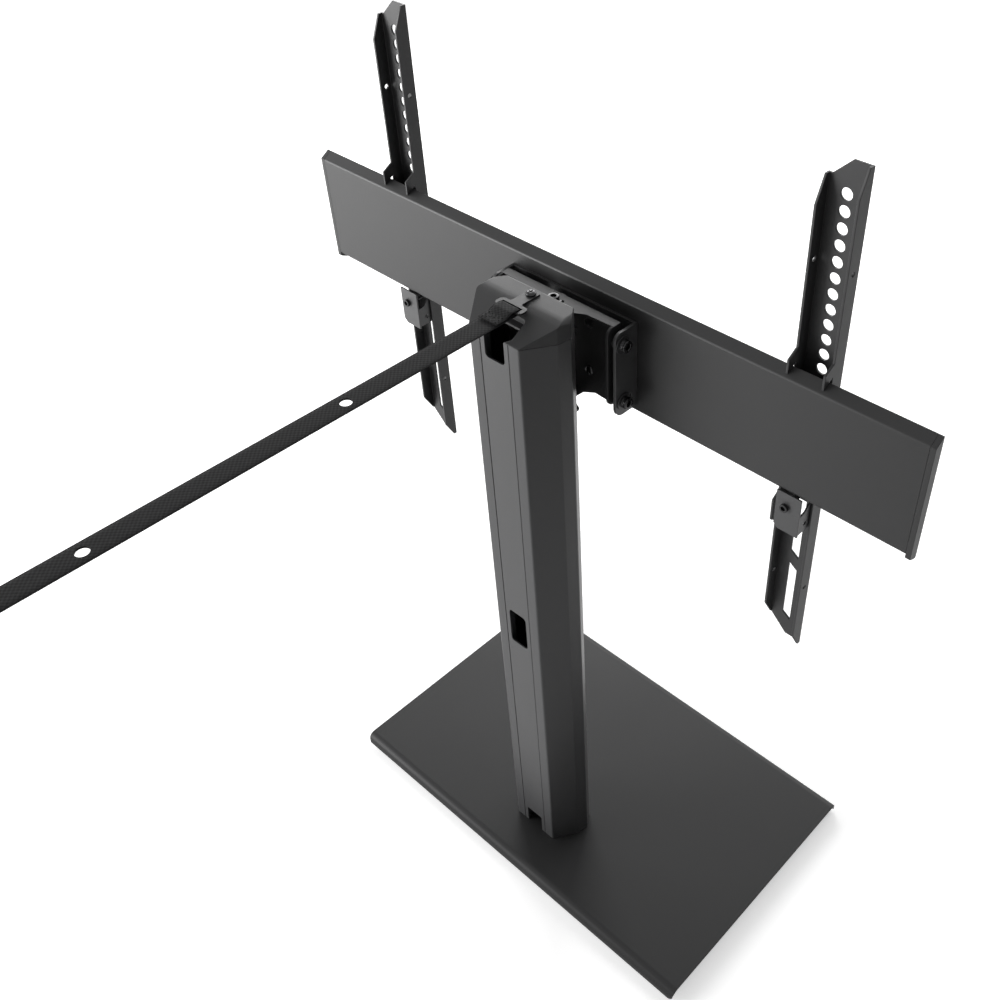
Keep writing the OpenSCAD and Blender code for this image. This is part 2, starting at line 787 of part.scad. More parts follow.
module swivel_bushes() {
    color(rubber_black) {
        bush(mount_top, swivel_top - swivel_t);
        bush(swivel_low + swivel_t, mount_low);
    }
}

module swivel_stop() {
    color(zinc)
    translate([-stop_reach, swivel_y, mount_top - mount_t])
        cylinder(h = swivel_top + stop_rise - mount_top + mount_t, r = stop_r);
}

// The curved slot that the stop pin runs in
module stop_slot() {
    half_w = stop_r + stop_slot_gap;
    translate([0, swivel_y, swivel_top - swivel_t - over])
        rotate([0, 0, 180]) {
            rotate([0, 0, -swivel_max])
                rotate_extrude(angle = 2 * swivel_max)
                    translate([stop_reach - half_w, 0]) square([2 * half_w, swivel_t + 2 * over]);
            for (turn = [-swivel_max, swivel_max])
                rotate([0, 0, turn]) translate([stop_reach, 0, 0])
                    cylinder(h = swivel_t + 2 * over, r = half_w);
        }
}

module tilt_axis_bores(low, high, r) {
    bar_x(low, high, tilt_y, tilt_z, r);
    bar_x(low, high, tilt_lock_y, tilt_lock_z, r);
}

module swivel_bracket() {
    half_w = swivel_w / 2;
    web = both_sides(concat([[half_w, swivel_top], [half_w, swivel_side_low]], swivel_arch));
    side = rounded([[swivel_web_front, swivel_side_low], [swivel_side_rear, swivel_side_low],
        [swivel_side_rear, swivel_top], [swivel_web_front, swivel_top]],
        [0, swivel_side_r, swivel_side_r, 0]);
    flange = both_sides(concat([[half_w, swivel_web_front]], swivel_flange_steps));
    color(coat_light)
    difference() {
        union() {
            along_y(swivel_web_front, swivel_web_rear) polygon(web);
            for (x = [-half_w, half_w - swivel_t]) along_x(x, x + swivel_t) polygon(side);
            along_z(swivel_top - swivel_t, swivel_top) {
                polygon(flange);
                translate([0, swivel_y]) circle(r = swivel_flange_r);
            }
            along_z(swivel_low, swivel_low + swivel_t) {
                translate([-swivel_tongue_w / 2, swivel_web_front])
                    square([swivel_tongue_w, swivel_y - swivel_web_front]);
                translate([0, swivel_y]) circle(r = swivel_tongue_w / 2);
            }
        }
        translate([0, swivel_y, swivel_low - over])
            cylinder(h = swivel_top - swivel_low + 2 * over, r = swivel_bolt_r + run_gap);
        stop_slot();
        for (sx = [-1, 1]) {
            bar_y(swivel_web_front - over, swivel_web_rear + over, sx * swivel_hole_x, swivel_hole_z,
                swivel_hole_r);
            bar_y(swivel_web_front - over, swivel_web_rear + over, sx * swivel_hole_x, rivet_z,
                rivet_r + run_gap);
        }
        for (x = [-half_w - over, half_w - swivel_t - over])
            tilt_axis_bores(x, x + swivel_t + 2 * over, tilt_bolt_r + run_gap);
        for (x = [swivel_t - half_w, half_w - swivel_t - tilt_relief_w])
            bar_x(x, x + tilt_relief_w, tilt_lock_y, tilt_lock_z, tilt_relief_r);
    }
}

module stop_rivets() {
    color(zinc)
    for (sx = [-1, 1])
        translate([sx * swivel_hole_x, swivel_web_rear, rivet_z])
            rotate([-90, 0, 0])
                rotate_extrude()
                    polygon([[0, -swivel_t], [rivet_r, -swivel_t], [rivet_r, 0], [rivet_head_r, 0],
                        [rivet_head_r, rivet_head_h / 2], [rivet_head_r / 2, rivet_head_h],
                        [0, rivet_head_h]]);
}

module swivel_bolt() {
    color(zinc)
    translate([0, swivel_y, swivel_top])
        socket_screw(swivel_bolt_head_r, swivel_bolt_head_h, swivel_bolt_r,
            swivel_top - swivel_low + swivel_nut_h);
}

module swivel_nut() {
    color(zinc)
    translate([0, swivel_y, swivel_low])
        mirror([0, 0, 1]) hex_nut(swivel_nut_r, swivel_nut_h, swivel_bolt_r + run_gap);
}

// One tilt bolt on the +X side, with its head outside the tilt bracket
module tilt_bolt(y, z) {
    seat = tilt_outer_w / 2 + tilt_washer_t + slide_gap;
    translate([seat, y, z])
        rotate([0, 90, 0])
            socket_screw(tilt_bolt_head_r, tilt_bolt_head_h, tilt_bolt_r,
                seat - swivel_w / 2 + swivel_t + tilt_nut_h);
}

module tilt_pivot_bolts() {
    color(zinc) {
        tilt_bolt(tilt_y, tilt_z);
        mirror([1, 0, 0]) tilt_bolt(tilt_y, tilt_z);
    }
}

module tilt_lock_bolts() {
    color(zinc) {
        tilt_bolt(tilt_lock_y, tilt_lock_z);
        mirror([1, 0, 0]) tilt_bolt(tilt_lock_y, tilt_lock_z);
    }
}

module ring_x(low, high, y, z, r) {
    difference() {
        bar_x(low, high, y, z, r);
        bar_x(low - over, high + over, y, z, tilt_bolt_r + run_gap);
    }
}

module tilt_washers() {
    outer = tilt_outer_w / 2 + slide_gap;
    color(rubber_black)
    for (sx = [0, 1], p = [[tilt_y, tilt_z], [tilt_lock_y, tilt_lock_z]])
        mirror([sx, 0, 0]) {
            ring_x(outer, outer + tilt_washer_t, p[0], p[1], tilt_washer_r);
            ring_x(swivel_w / 2, tilt_inner_w / 2 - slide_gap, p[0], p[1], tilt_spacer_r);
        }
}

module tilt_nuts() {
    inner = swivel_w / 2 - swivel_t;
    color(zinc)
    for (sx = [0, 1], p = [[tilt_y, tilt_z], [tilt_lock_y, tilt_lock_z]])
        mirror([sx, 0, 0]) ring_x(inner - tilt_nut_h, inner, p[0], p[1], tilt_nut_r);
}

// The curved slot that the tilt lock bolt runs in, through one side of the tilt bracket
module tilt_slot(low, high) {
    half_w = tilt_bolt_r + run_gap;
    turns = [tilt_lock_rest - tilt_forward_max, tilt_lock_rest + tilt_back_max];
    translate([low, tilt_y, tilt_z])
        rotate([90, 0, 90]) {
            rotate([0, 0, turns[0]])
                rotate_extrude(angle = turns[1] - turns[0])
                    translate([tilt_lock_dist - half_w, 0]) square([2 * half_w, high - low]);
            for (turn = turns)
                rotate([0, 0, turn]) translate([tilt_lock_dist, 0, 0])
                    cylinder(h = high - low, r = half_w);
        }
}

module rail_bolt_bores(front, rear, r) {
    for (sx = [-1, 1], drop = rail_bolt_drops)
        bar_y(front, rear, sx * rail_bolt_x, pillar_top - drop, r);
}

module tilt_bracket() {
    half_w = tilt_outer_w / 2;
    web_rear = rail_rear + tilt_web_t;
    side = rounded([[rail_rear, tilt_low], [tilt_side_rear, tilt_low], [tilt_side_rear, tilt_top],
        [rail_rear, tilt_top]], [0, tilt_low_r, tilt_top_r, 0]);
    color(coat)
    difference() {
        union() {
            along_y(rail_rear, web_rear)
                polygon(box_points(-half_w, tilt_low, half_w, tilt_top));
            for (x = [-half_w, half_w - tilt_side_t]) along_x(x, x + tilt_side_t) polygon(side);
        }
        for (x = [-half_w - over, half_w - tilt_side_t - over]) {
            bar_x(x, x + tilt_side_t + 2 * over, tilt_y, tilt_z, tilt_bolt_r + run_gap);
            tilt_slot(x, x + tilt_side_t + 2 * over);
        }
        rail_bolt_bores(rail_rear - over, web_rear + over, rail_bolt_r + screw_gap);
    }
}

module rail() {
    lip_y = rail_rear - rail_lip_d;
    section = rounded([[lip_y, rail_low - rail_lip_h], [rail_rear, rail_low], [rail_rear, rail_top],
        [lip_y, rail_top + rail_lip_h]], [0, rail_bend_r, rail_bend_r, 0]);
    color(coat)
    difference() {
        along_x(end_cap_t - rail_w / 2, rail_w / 2 - end_cap_t) polygon(sheet(section, 0, rail_t));
        rail_bolt_bores(rail_rear - rail_t - over, rail_rear + over, rail_bolt_r + screw_gap);
    }
}

// The end cap at the rail's +X end
module end_cap() {
    inner = rail_w / 2 - end_cap_t;
    lip_y = rail_rear - rail_lip_d;
    foot_z = rail_low - end_foot_h;
    face = rounded([[lip_y, foot_z - end_foot_slope_h], [rail_rear, foot_z], [rail_rear, rail_top],
        [lip_y, rail_top + rail_lip_h]], [end_foot_r, end_foot_r, 0, 0]);
    plug_rear = rail_rear - rail_t;
    along_x(inner, rail_w / 2) polygon(face);
    along_x(inner - end_plug_w, inner)
        polygon(box_points(plug_rear - end_plug_d, rail_low + end_plug_gap,
            plug_rear, rail_top - end_plug_gap));
}

module left_end_cap() {
    color(coat) end_cap();
}

module right_end_cap() {
    color(coat) mirror([1, 0, 0]) end_cap();
}

module rail_bolts() {
    seat = rail_rear - rail_t;
    color(zinc)
    for (sx = [-1, 1], drop = rail_bolt_drops)
        translate([sx * rail_bolt_x, seat, pillar_top - drop])
            rotate([90, 0, 0])
                socket_screw(rail_bolt_head_r, rail_bolt_head_h, rail_bolt_r,
                    rail_t + tilt_web_t + rail_nut_h);
}

module rail_nuts() {
    color(zinc)
    for (sx = [-1, 1], drop = rail_bolt_drops)
        translate([sx * rail_bolt_x, rail_rear + tilt_web_t, pillar_top - drop])
            rotate([-90, 0, 0]) hex_nut(rail_nut_r, rail_nut_h, rail_bolt_r + run_gap);
}

// The rear edge of an arm's side where its hook rests on the rail's upper lip
hook_tip_y = arm_rear + arm_hook_d;
hook_points = [[arm_rear, arm_hook_top], [hook_tip_y, arm_hook_top - arm_hook_slope_h],
    [hook_tip_y, lip_z(hook_tip_y) + hook_gap], [arm_rear, lip_z(arm_rear) + hook_gap]];
ear_points = [[arm_rear, arm_ear_low + arm_ear_taper + arm_ear_h + arm_ear_taper],
    [arm_rear + arm_ear_d, arm_ear_low + arm_ear_taper + arm_ear_h],
    [arm_rear + arm_ear_d, arm_ear_low + arm_ear_taper], [arm_rear, arm_ear_low]];

// Side of an arm: top and low are its ends, and extra points stand out of its rear edge
function arm_side(top, low, extra) = concat(
    [[arm_front, low], [arm_front, top], [arm_front + arm_nose_d, top], [arm_rear, top - arm_nose_h]],
    extra, [[arm_rear, low + arm_tail_h], [arm_front + arm_tail_d, low]]);

module arm() {
    half_w = arm_w / 2;
    cut_top = arm_top - arm_top_cut_h;
    cut_low = arm_web_low + arm_low_cut_h;
    flat_x = arm_top_flat - half_w;
    web = [[-half_w, arm_web_low], [-half_w, arm_top], [flat_x, arm_top], [flat_x + arm_top_cut, cut_top],
        [half_w, cut_top], [half_w, cut_low], [flat_x, arm_web_low]];
    slot_x = arm_slot_w / 2;
    slot = [[-slot_x, arm_slot_low], [slot_x, arm_slot_low + arm_slot_slant], [slot_x, arm_slot_top],
        [-slot_x, arm_slot_top]];
    low_slot = [[-slot_x, arm_low_slot_low], [slot_x, arm_low_slot_low + arm_slot_slant],
        [slot_x, arm_low_slot_top + arm_slot_slant], [-slot_x, arm_low_slot_top]];
    pocket = box_points(-lock_nut_w / 2 - slide_gap, lock_screw_z - lock_nut_h / 2 - slide_gap,
        lock_nut_w / 2 + slide_gap, lock_screw_z + lock_nut_h / 2 + lock_travel + slide_gap);
    difference() {
        union() {
            along_y(arm_front, arm_web_rear) polygon(web);
            along_x(-half_w, arm_t - half_w) polygon(arm_side(arm_top, arm_low, hook_points));
            along_x(half_w - arm_t, half_w)
                polygon(arm_side(cut_top, cut_low, concat(hook_points, ear_points)));
        }
        along_y(arm_front - over, arm_web_rear + over) {
            polygon(slot);
            polygon(low_slot);
        }
        along_y(arm_front - over, arm_front + lock_pocket_d) polygon(pocket);
        for (i = [0:arm_hole_count - 1])
            bar_y(arm_front - over, arm_web_rear + over, 0,
                arm_top - arm_hole_drop - i * arm_hole_pitch, arm_hole_r);
        for (drop = arm_pin_drops)
            bar_x(-half_w - over, half_w + over, arm_web_rear + arm_pin_back, arm_top - drop, arm_pin_r);
    }
}

module left_arm() {
    color(coat) translate([arm_spacing / 2, 0, 0]) arm();
}

module right_arm() {
    color(coat) translate([-arm_spacing / 2, 0, 0]) arm();
}

module lock_plate() {
    base_front = arm_web_rear + slide_gap;
    base_low = lock_screw_z - lock_base_low;
    base_high = base_low + lock_base_h;
    plate = [[-lock_wall_x, lock_plate_low], [lock_plate_edge - lock_corner, lock_plate_low],
        [lock_plate_edge, lock_plate_low + lock_corner], [lock_plate_edge, lock_plate_low + lock_h],
        [-lock_wall_x, lock_plate_low + lock_h]];
    wall = [[base_front, base_low], [arm_rear, lock_wall_low], [lock_plate_front, lock_wall_low],
        [lock_plate_front, rail_low - lock_wall_rear_drop],
        [arm_rear + lock_wall_mid_d, rail_low - lock_wall_mid_drop],
        [arm_rear, rail_low - lock_wall_mid_drop + lock_wall_rise], [base_front, base_high]];
    difference() {
        union() {
            along_y(base_front, base_front + lock_t)
                polygon(box_points(-lock_wall_x, base_low, lock_base_w - lock_wall_x, base_high));
            along_x(-lock_wall_x, lock_t - lock_wall_x) polygon(wall);
            along_y(lock_plate_front, lock_plate_rear) polygon(plate);
        }
        bar_y(base_front - over, lock_plate_rear + over, 0, lock_screw_z, lock_screw_r + screw_gap);
        bar_x(-lock_wall_x - over, lock_t - lock_wall_x + over, lock_hole_y, lock_hole_z, lock_hole_r);
    }
}

module lock_screw() {
    translate([0, lock_plate_rear, lock_screw_z])
        rotate([-90, 0, 0])
            socket_screw(lock_screw_head_r, lock_screw_head_h, lock_screw_r,
                lock_plate_rear - arm_front - slide_gap);
}

module lock_nut() {
    front = arm_front + slide_gap;
    flange_rear = front + lock_nut_flange_t;
    stem_half = arm_slot_w / 2 - slide_gap;
    difference() {
        union() {
            along_y(front, flange_rear)
                polygon(box_points(-lock_nut_w / 2, lock_screw_z - lock_nut_h / 2,
                    lock_nut_w / 2, lock_screw_z + lock_nut_h / 2));
            along_y(flange_rear, arm_web_rear)
                polygon(box_points(-stem_half, lock_screw_z - lock_nut_stem_h / 2,
                    stem_half, lock_screw_z + lock_nut_stem_h / 2));
        }
        bar_y(front - over, arm_web_rear + over, 0, lock_screw_z, lock_screw_r + run_gap);
    }
}

module left_lock_plate() {
    color(coat_light) translate([arm_spacing / 2, 0, 0]) lock_plate();
}

module left_lock_screw() {
    color(zinc) translate([arm_spacing / 2, 0, 0]) lock_screw();
}

module left_lock_nut() {
    color(zinc) translate([arm_spacing / 2, 0, 0]) lock_nut();
}

module right_lock_plate() {
    color(coat_light) translate([-arm_spacing / 2, 0, 0]) lock_plate();
}

module right_lock_screw() {
    color(zinc) translate([-arm_spacing / 2, 0, 0]) lock_screw();
}

module right_lock_nut() {
    color(zinc) translate([-arm_spacing / 2, 0, 0]) lock_nut();
}

module strap() {
    route = rounded(strap_route, strap_bends);
    color(rubber_black)
    difference() {
        along_x(-strap_w / 2, strap_w / 2) polygon(sheet(route, -strap_t / 2, strap_t / 2));
        for (reach = eyelet_reaches)
            translate([0, pillar_rear_y + reach, strap_low - over])
                cylinder(h = strap_t + 2 * over, r = eyelet_r);
        translate([0, anchor_screw_y, strap_low - over])
            cylinder(h = strap_t + 2 * over, r = anchor_screw_r + screw_gap);
    }
}

module strap_anchor() {
    section = rounded([[anchor_rear_y, strap_low - anchor_h], [anchor_rear_y, strap_low],
        [anchor_front_y, strap_low]], [0, anchor_bend_r, 0]);
    color(coat_light)
    difference() {
        along_x(-strap_w / 2, strap_w / 2) polygon(sheet(section, 0, anchor_t));
        bar_y(anchor_rear_y - anchor_t - over, anchor_rear_y + over, 0, strap_low - anchor_hole_drop,
            anchor_hole_r);
        translate([0, anchor_screw_y, strap_low - anchor_t - over])
            cylinder(h = anchor_t + 2 * over, r = anchor_screw_r + run_gap);
    }
}

module anchor_screw() {
    color(zinc)
    translate([0, anchor_screw_y, strap_high])
        socket_screw(anchor_screw_head_r, anchor_screw_head_h, anchor_screw_r, anchor_screw_reach);
}

base_plate();
base_feet();
foot_screws();
pillar_shell();
cable_cover();
pillar_cap();
head_block();
head_mount();
head_mount_bolts();
swivel_bushes();
swivel_stop();
strap_clip();
clip_screw();
strap();
strap_anchor();
anchor_screw();
swivel_bracket();
stop_rivets();
swivel_bolt();
swivel_nut();
tilt_pivot_bolts();
tilt_lock_bolts();
tilt_washers();
tilt_nuts();
tilt_bracket();
rail();
left_end_cap();
right_end_cap();
rail_bolts();
rail_nuts();
left_arm();
right_arm();
left_lock_plate();
left_lock_screw();
left_lock_nut();
right_lock_plate();
right_lock_screw();
right_lock_nut();
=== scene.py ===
import json
import math

import bmesh
import bpy
from mathutils import Matrix, Vector

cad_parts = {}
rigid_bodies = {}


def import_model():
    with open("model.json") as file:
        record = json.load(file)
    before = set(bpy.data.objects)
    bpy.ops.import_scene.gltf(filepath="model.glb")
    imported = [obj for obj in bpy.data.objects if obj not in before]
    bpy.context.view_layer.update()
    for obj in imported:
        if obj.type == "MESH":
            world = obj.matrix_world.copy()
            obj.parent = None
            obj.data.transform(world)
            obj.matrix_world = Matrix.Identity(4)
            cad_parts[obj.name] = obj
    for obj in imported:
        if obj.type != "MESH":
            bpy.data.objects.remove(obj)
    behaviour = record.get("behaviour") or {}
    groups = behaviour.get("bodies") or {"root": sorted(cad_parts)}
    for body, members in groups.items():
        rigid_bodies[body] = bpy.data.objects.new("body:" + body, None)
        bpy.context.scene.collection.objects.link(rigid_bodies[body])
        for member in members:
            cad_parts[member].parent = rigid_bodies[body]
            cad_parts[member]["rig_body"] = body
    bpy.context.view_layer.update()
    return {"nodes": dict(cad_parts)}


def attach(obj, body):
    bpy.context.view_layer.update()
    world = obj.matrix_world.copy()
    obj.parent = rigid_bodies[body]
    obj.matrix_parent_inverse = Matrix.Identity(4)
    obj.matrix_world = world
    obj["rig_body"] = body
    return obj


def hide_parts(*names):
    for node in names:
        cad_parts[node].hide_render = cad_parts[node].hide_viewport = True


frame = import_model()
scene = bpy.context.scene
mm = 0.001

# The photograph's own camera: where it stands, and which way its picture runs.
photoCamera = {
    "place": (-0.5607, 0.5909, 1.1920),
    "right": (-0.74663942, -0.66522504, -0.00228233),
    "down": (-0.43793561, 0.49410966, -0.75104464),
    "ahead": (0.50074142, -0.55976002, -0.66024749),
    "lens": 40.68,
    "sensor": 36,
    "shift": (-0.11443, -0.01362),
    "nearest": 0.02,
}


def placeCamera(look):
    data = bpy.data.cameras.new("photoCamera")
    data.sensor_width, data.lens = look["sensor"], look["lens"]
    data.shift_x, data.shift_y = look["shift"]
    data.clip_start = look["nearest"]
    data.dof.use_dof = False
    camera = bpy.data.objects.new("photoCamera", data)
    columns = Matrix((look["right"], -Vector(look["down"]), -Vector(look["ahead"]))).transposed()
    camera.matrix_world = Matrix.Translation(look["place"]) @ columns.to_4x4()
    scene.collection.objects.link(camera)
    scene.camera = camera


placeCamera(photoCamera)
print("camera placed")


class Wire:  # a number, colour or shape on its way between two nodes
    def __init__(self, net, socket):
        self.net, self.socket = net, socket

    def maths(self, operation, other=None, swapped=False):
        pair = (other, self) if swapped else (self, other)
        return self.net.node("ShaderNodeMath", {"operation": operation},
                             {i: v for i, v in enumerate(pair) if v is not None})

    def __add__(self, other): return self.maths("ADD", other)
    def __radd__(self, other): return self.maths("ADD", other, True)
    def __sub__(self, other): return self.maths("SUBTRACT", other)
    def __rsub__(self, other): return self.maths("SUBTRACT", other, True)
    def __mul__(self, other): return self.maths("MULTIPLY", other)
    def __rmul__(self, other): return self.maths("MULTIPLY", other, True)
    def __truediv__(self, other): return self.maths("DIVIDE", other)
    def __rtruediv__(self, other): return self.maths("DIVIDE", other, True)
    def __gt__(self, other): return self.maths("GREATER_THAN", other)
    def __lt__(self, other): return self.maths("LESS_THAN", other)
    def sine(self): return self.maths("SINE")
    def cosine(self): return self.maths("COSINE")
    def size(self): return self.maths("ABSOLUTE")
    def part(self): return self.maths("FRACT")
    def whole(self): return self.maths("FLOOR")
    def atLeast(self, other): return self.maths("MAXIMUM", other)
    def atMost(self, other): return self.maths("MINIMUM", other)


class Net:  # a tree of nodes
    def __init__(self, tree):
        self.tree, self.nodes, self.links = tree, tree.nodes, tree.links
        self.nodes.clear()

    def node(self, kind, settings=None, values=None, out=0):
        made = self.nodes.new(kind)
        for name, value in (settings or {}).items():
            setattr(made, name, value)
        for name, value in (values or {}).items():
            if isinstance(value, Wire):
                self.links.new(value.socket, made.inputs[name])
            else:
                made.inputs[name].default_value = value
        return Wire(self, made.outputs[out]) if len(made.outputs) else made

    def parts(self, vector):
        return [self.node("ShaderNodeSeparateXYZ", None, {0: vector}, out=i) for i in (0, 1)]

    def ray(self, kind):
        return self.node("ShaderNodeLightPath", out=kind)


class Finish(Net):  # one material
    def __init__(self, name):
        self.material = bpy.data.materials.new(name)
        self.material.use_nodes = True
        super().__init__(self.material.node_tree)

    def place(self):
        return self.node("ShaderNodeTexCoord", out="Object")

    def noise(self, place, scale, detail=2, roughness=0.5):
        return self.node("ShaderNodeTexNoise", {"noise_dimensions": "3D"},
                         {"Vector": place, "Scale": scale, "Detail": detail, "Roughness": roughness})

    def mixed(self, share, dark, light):
        return self.node("ShaderNodeMix", {"data_type": "RGBA"}, {0: share, 6: dark, 7: light}, out=2)

    def bump(self, height, strength, distance):
        return self.node("ShaderNodeBump", None, {"Height": height, "Strength": strength, "Distance": distance})

    def finish(self, **inputs):
        values = {name.replace("_", " "): value for name, value in inputs.items()}
        shader = self.node("ShaderNodeBsdfPrincipled", None, values)
        self.node("ShaderNodeOutputMaterial", None, {"Surface": shader})
        return self.material


def grey(level, tint=0.03):
    return (level, level, level * (1 + tint), 1)


# What all looks of one kind share: the darkest and the lightest shade, and the grain's depth in m.
surfaces = {
    "coat": {"shades": (0.82, 1.18), "shares": (0.6, 0.4), "peelSize": 4, "peelShare": 0.8, "grainScuffs": 0.10,
             "depth": 0.00010},
    "plastic": {"shades": (0.85, 1.15), "grainScuffs": 0.2, "depth": 0.00018},
    "screw": {"shades": (0.7, 1.3), "depth": 0.00006},
    "rubber": {"shades": (0.8, 1.5), "depth": 0.0002},
}


def shaded(net, share, level, kind, tint=0.03):
    dark, light = surfaces[kind]["shades"]
    return net.mixed(share, grey(level * dark, tint), grey(level * light, tint))


def powderCoat(name, look):
    coat = surfaces["coat"]
    net = Finish(name)
    place = net.place()
    broad = net.noise(place, look["patches"], detail=3)
    grain = net.noise(place, look["grains"], roughness=0.6)
    peel = net.noise(place, look["grains"] / coat["peelSize"], detail=1)
    share = (broad * coat["shares"][0] + grain * coat["shares"][1]).atMost(1)
    colour = shaded(net, share, look["level"], "coat")
    rough = look["rough"] + (broad - 0.5) * look["scuffs"] + (grain - 0.5) * coat["grainScuffs"]
    normal = net.bump(grain + peel * coat["peelShare"], look["bumps"], coat["depth"])
    return net.finish(Base_Color=colour, Roughness=rough, Normal=normal, Specular_IOR_Level=look["gloss"])


def mouldedPlastic(name, look):
    plastic = surfaces["plastic"]
    net = Finish(name)
    place = net.place()
    pores = net.noise(place, look["grains"], roughness=0.7)
    broad = net.noise(place, look["patches"])
    colour = shaded(net, pores * 0.5 + broad * 0.5, look["level"], "plastic")
    rough = look["rough"] + (pores - 0.5) * plastic["grainScuffs"] + (broad - 0.5) * look["scuffs"]
    normal = net.bump(pores, look["bumps"], plastic["depth"])
    return net.finish(Base_Color=colour, Roughness=rough, Normal=normal, Specular_IOR_Level=look["gloss"])


def blackScrew(name, look):
    net = Finish(name)
    turned = net.noise(net.place(), look["grains"], detail=3, roughness=0.6)
    colour = shaded(net, turned, look["level"], "screw")
    rough = look["rough"] + (turned - 0.5) * look["scuffs"]
    normal = net.bump(turned, look["bumps"], surfaces["screw"]["depth"])
    return net.finish(Base_Color=colour, Roughness=rough, Normal=normal, Metallic=look["metal"])


def footRubber(name, look):
    net = Finish(name)
    place = net.place()
    dust = net.noise(place, look["patches"], detail=4, roughness=0.6)
    pores = net.noise(place, look["grains"])
    colour = shaded(net, dust, look["level"], "rubber", 0)
    rough = look["rough"] + (dust - 0.5) * look["scuffs"]
    normal = net.bump(pores, look["bumps"], surfaces["rubber"]["depth"])
    return net.finish(Base_Color=colour, Roughness=rough, Normal=normal)


def webbing(name, look):
    net = Finish(name)
    across, along = net.parts(net.node("ShaderNodeTexCoord", out="UV"))
    turn = 2 * math.pi / look["figure"]
    diamond = (along * turn).cosine() * (across * turn).cosine() * 0.5 + 0.5
    yarns = ((across + along) * (2 * math.pi / look["yarn"])).sine() * 0.5 + 0.5
    # Painted shade: a band along both long edges is coloured darker, and is also bumped lower.
    shadedEdgeBand = across.size() > look["half"] - look["shadedEdgeBand"]
    fuzz = net.noise(net.place(), look["fuzz"], detail=3, roughness=0.7)
    ofDiamond, ofYarns, ofFuzz = look["shadeShares"]
    shade = (diamond * ofDiamond + yarns * ofYarns + fuzz * ofFuzz).atMost(1)
    woven = net.mixed(shade, grey(look["dark"], look["tint"]), grey(look["light"], look["tint"]))
    # The edge colour paints shade on the long edges' band, and also darkens the cut end.
    colour = net.mixed(shadedEdgeBand.atLeast(along < look["cut"]), woven, grey(look["edge"], look["tint"]))
    ofDiamond, ofYarns, ofEdgeBand, ofFuzz = look["heightShares"]
    height = diamond * ofDiamond + yarns * ofYarns - shadedEdgeBand * ofEdgeBand
    normal = net.bump(height + fuzz * ofFuzz, look["bumps"], look["depth"])
    rough = look["rough"] - height * look["polish"]
    return net.finish(Base_Color=colour, Roughness=rough, Normal=normal, Specular_IOR_Level=look["gloss"],
                      Sheen_Weight=look["sheen"], Sheen_Roughness=look["sheenRough"])


# The webbing's figure, yarn, half width, shaded edge band and cut end are in mm, like its UV.
looks = {
    "base": {"level": 0.013, "rough": 0.50, "gloss": 0.27, "patches": 7, "grains": 1500,
             "scuffs": 0.10, "bumps": 0.30},
    "pillar": {"level": 0.055, "rough": 0.42, "gloss": 0.32, "patches": 8, "grains": 1700,
               "scuffs": 0.08, "bumps": 0.22},
    "rail": {"level": 0.0130, "rough": 0.46, "gloss": 0.44, "patches": 6, "grains": 1600,
             "scuffs": 0.08, "bumps": 0.25},
    "arm": {"level": 0.026, "rough": 0.48, "gloss": 0.40, "patches": 14, "grains": 1600,
            "scuffs": 0.08, "bumps": 0.25},
    "bracket": {"level": 0.050, "rough": 0.40, "gloss": 0.50, "patches": 20, "grains": 1500,
                "scuffs": 0.12, "bumps": 0.25},
    "clip": {"level": 0.030, "rough": 0.44, "gloss": 0.24, "patches": 30, "grains": 1500,
             "scuffs": 0.10, "bumps": 0.2},
    "cover": {"level": 0.047, "rough": 0.45, "gloss": 0.45, "patches": 10, "grains": 1900,
              "scuffs": 0.06, "bumps": 0.22},
    "cap": {"level": 0.028, "rough": 0.54, "gloss": 0.33, "patches": 25, "grains": 2200,
            "scuffs": 0.06, "bumps": 0.35},
    "screw": {"level": 0.035, "rough": 0.26, "metal": 0.7, "grains": 700, "scuffs": 0.12, "bumps": 0.15},
    "nylon": {"level": 0.030, "rough": 0.40, "gloss": 0.50, "patches": 40, "grains": 1200,
              "scuffs": 0.08, "bumps": 0.15},
    "rubber": {"level": 0.020, "rough": 0.75, "patches": 60, "grains": 900, "scuffs": 0.2, "bumps": 0.3},
    "block": {"level": 0.45, "rough": 0.35, "metal": 1.0, "grains": 300, "scuffs": 0.2, "bumps": 0.2},
    # The webbing's edge colour is painted shade along both long edges, and also darkens the cut end.
    "webbing": {"dark": 0.003, "light": 0.024, "edge": 0.002, "rough": 0.90, "gloss": 0.24, "sheen": 0.01,
                "sheenRough": 0.5, "polish": 0.1, "tint": 0.04, "figure": 3.6, "yarn": 0.65, "half": 10.1,
                "shadedEdgeBand": 1.2, "cut": 0.5, "fuzz": 2200, "bumps": 0.6, "depth": 0.00030,
                "shadeShares": (0.75, 0.1, 0.3), "heightShares": (0.7, 0.3, 0.4, 0.3)},
}
finishes = {
    "base": powderCoat("baseCoat", looks["base"]),
    "pillar": powderCoat("pillarCoat", looks["pillar"]),
    "rail": powderCoat("railCoat", looks["rail"]),
    "arm": powderCoat("armCoat", looks["arm"]),
    "bracket": powderCoat("bracketCoat", looks["bracket"]),
    "clip": powderCoat("clipCoat", looks["clip"]),
    "cover": mouldedPlastic("coverPlastic", looks["cover"]),
    "cap": mouldedPlastic("capPlastic", looks["cap"]),
    "screw": blackScrew("blackScrew", looks["screw"]),
    "nylon": mouldedPlastic("blackNylon", looks["nylon"]),
    "rubber": footRubber("footRubber", looks["rubber"]),
    "block": blackScrew("plainBlock", looks["block"]),
    "webbing": webbing("strapWebbing", looks["webbing"]),
}
print("materials made:", len(finishes))


def linked(name, mesh, material):
    piece = bpy.data.objects.new(name, mesh)
    scene.collection.objects.link(piece)
    mesh.materials.clear()
    mesh.materials.append(material)
    return piece


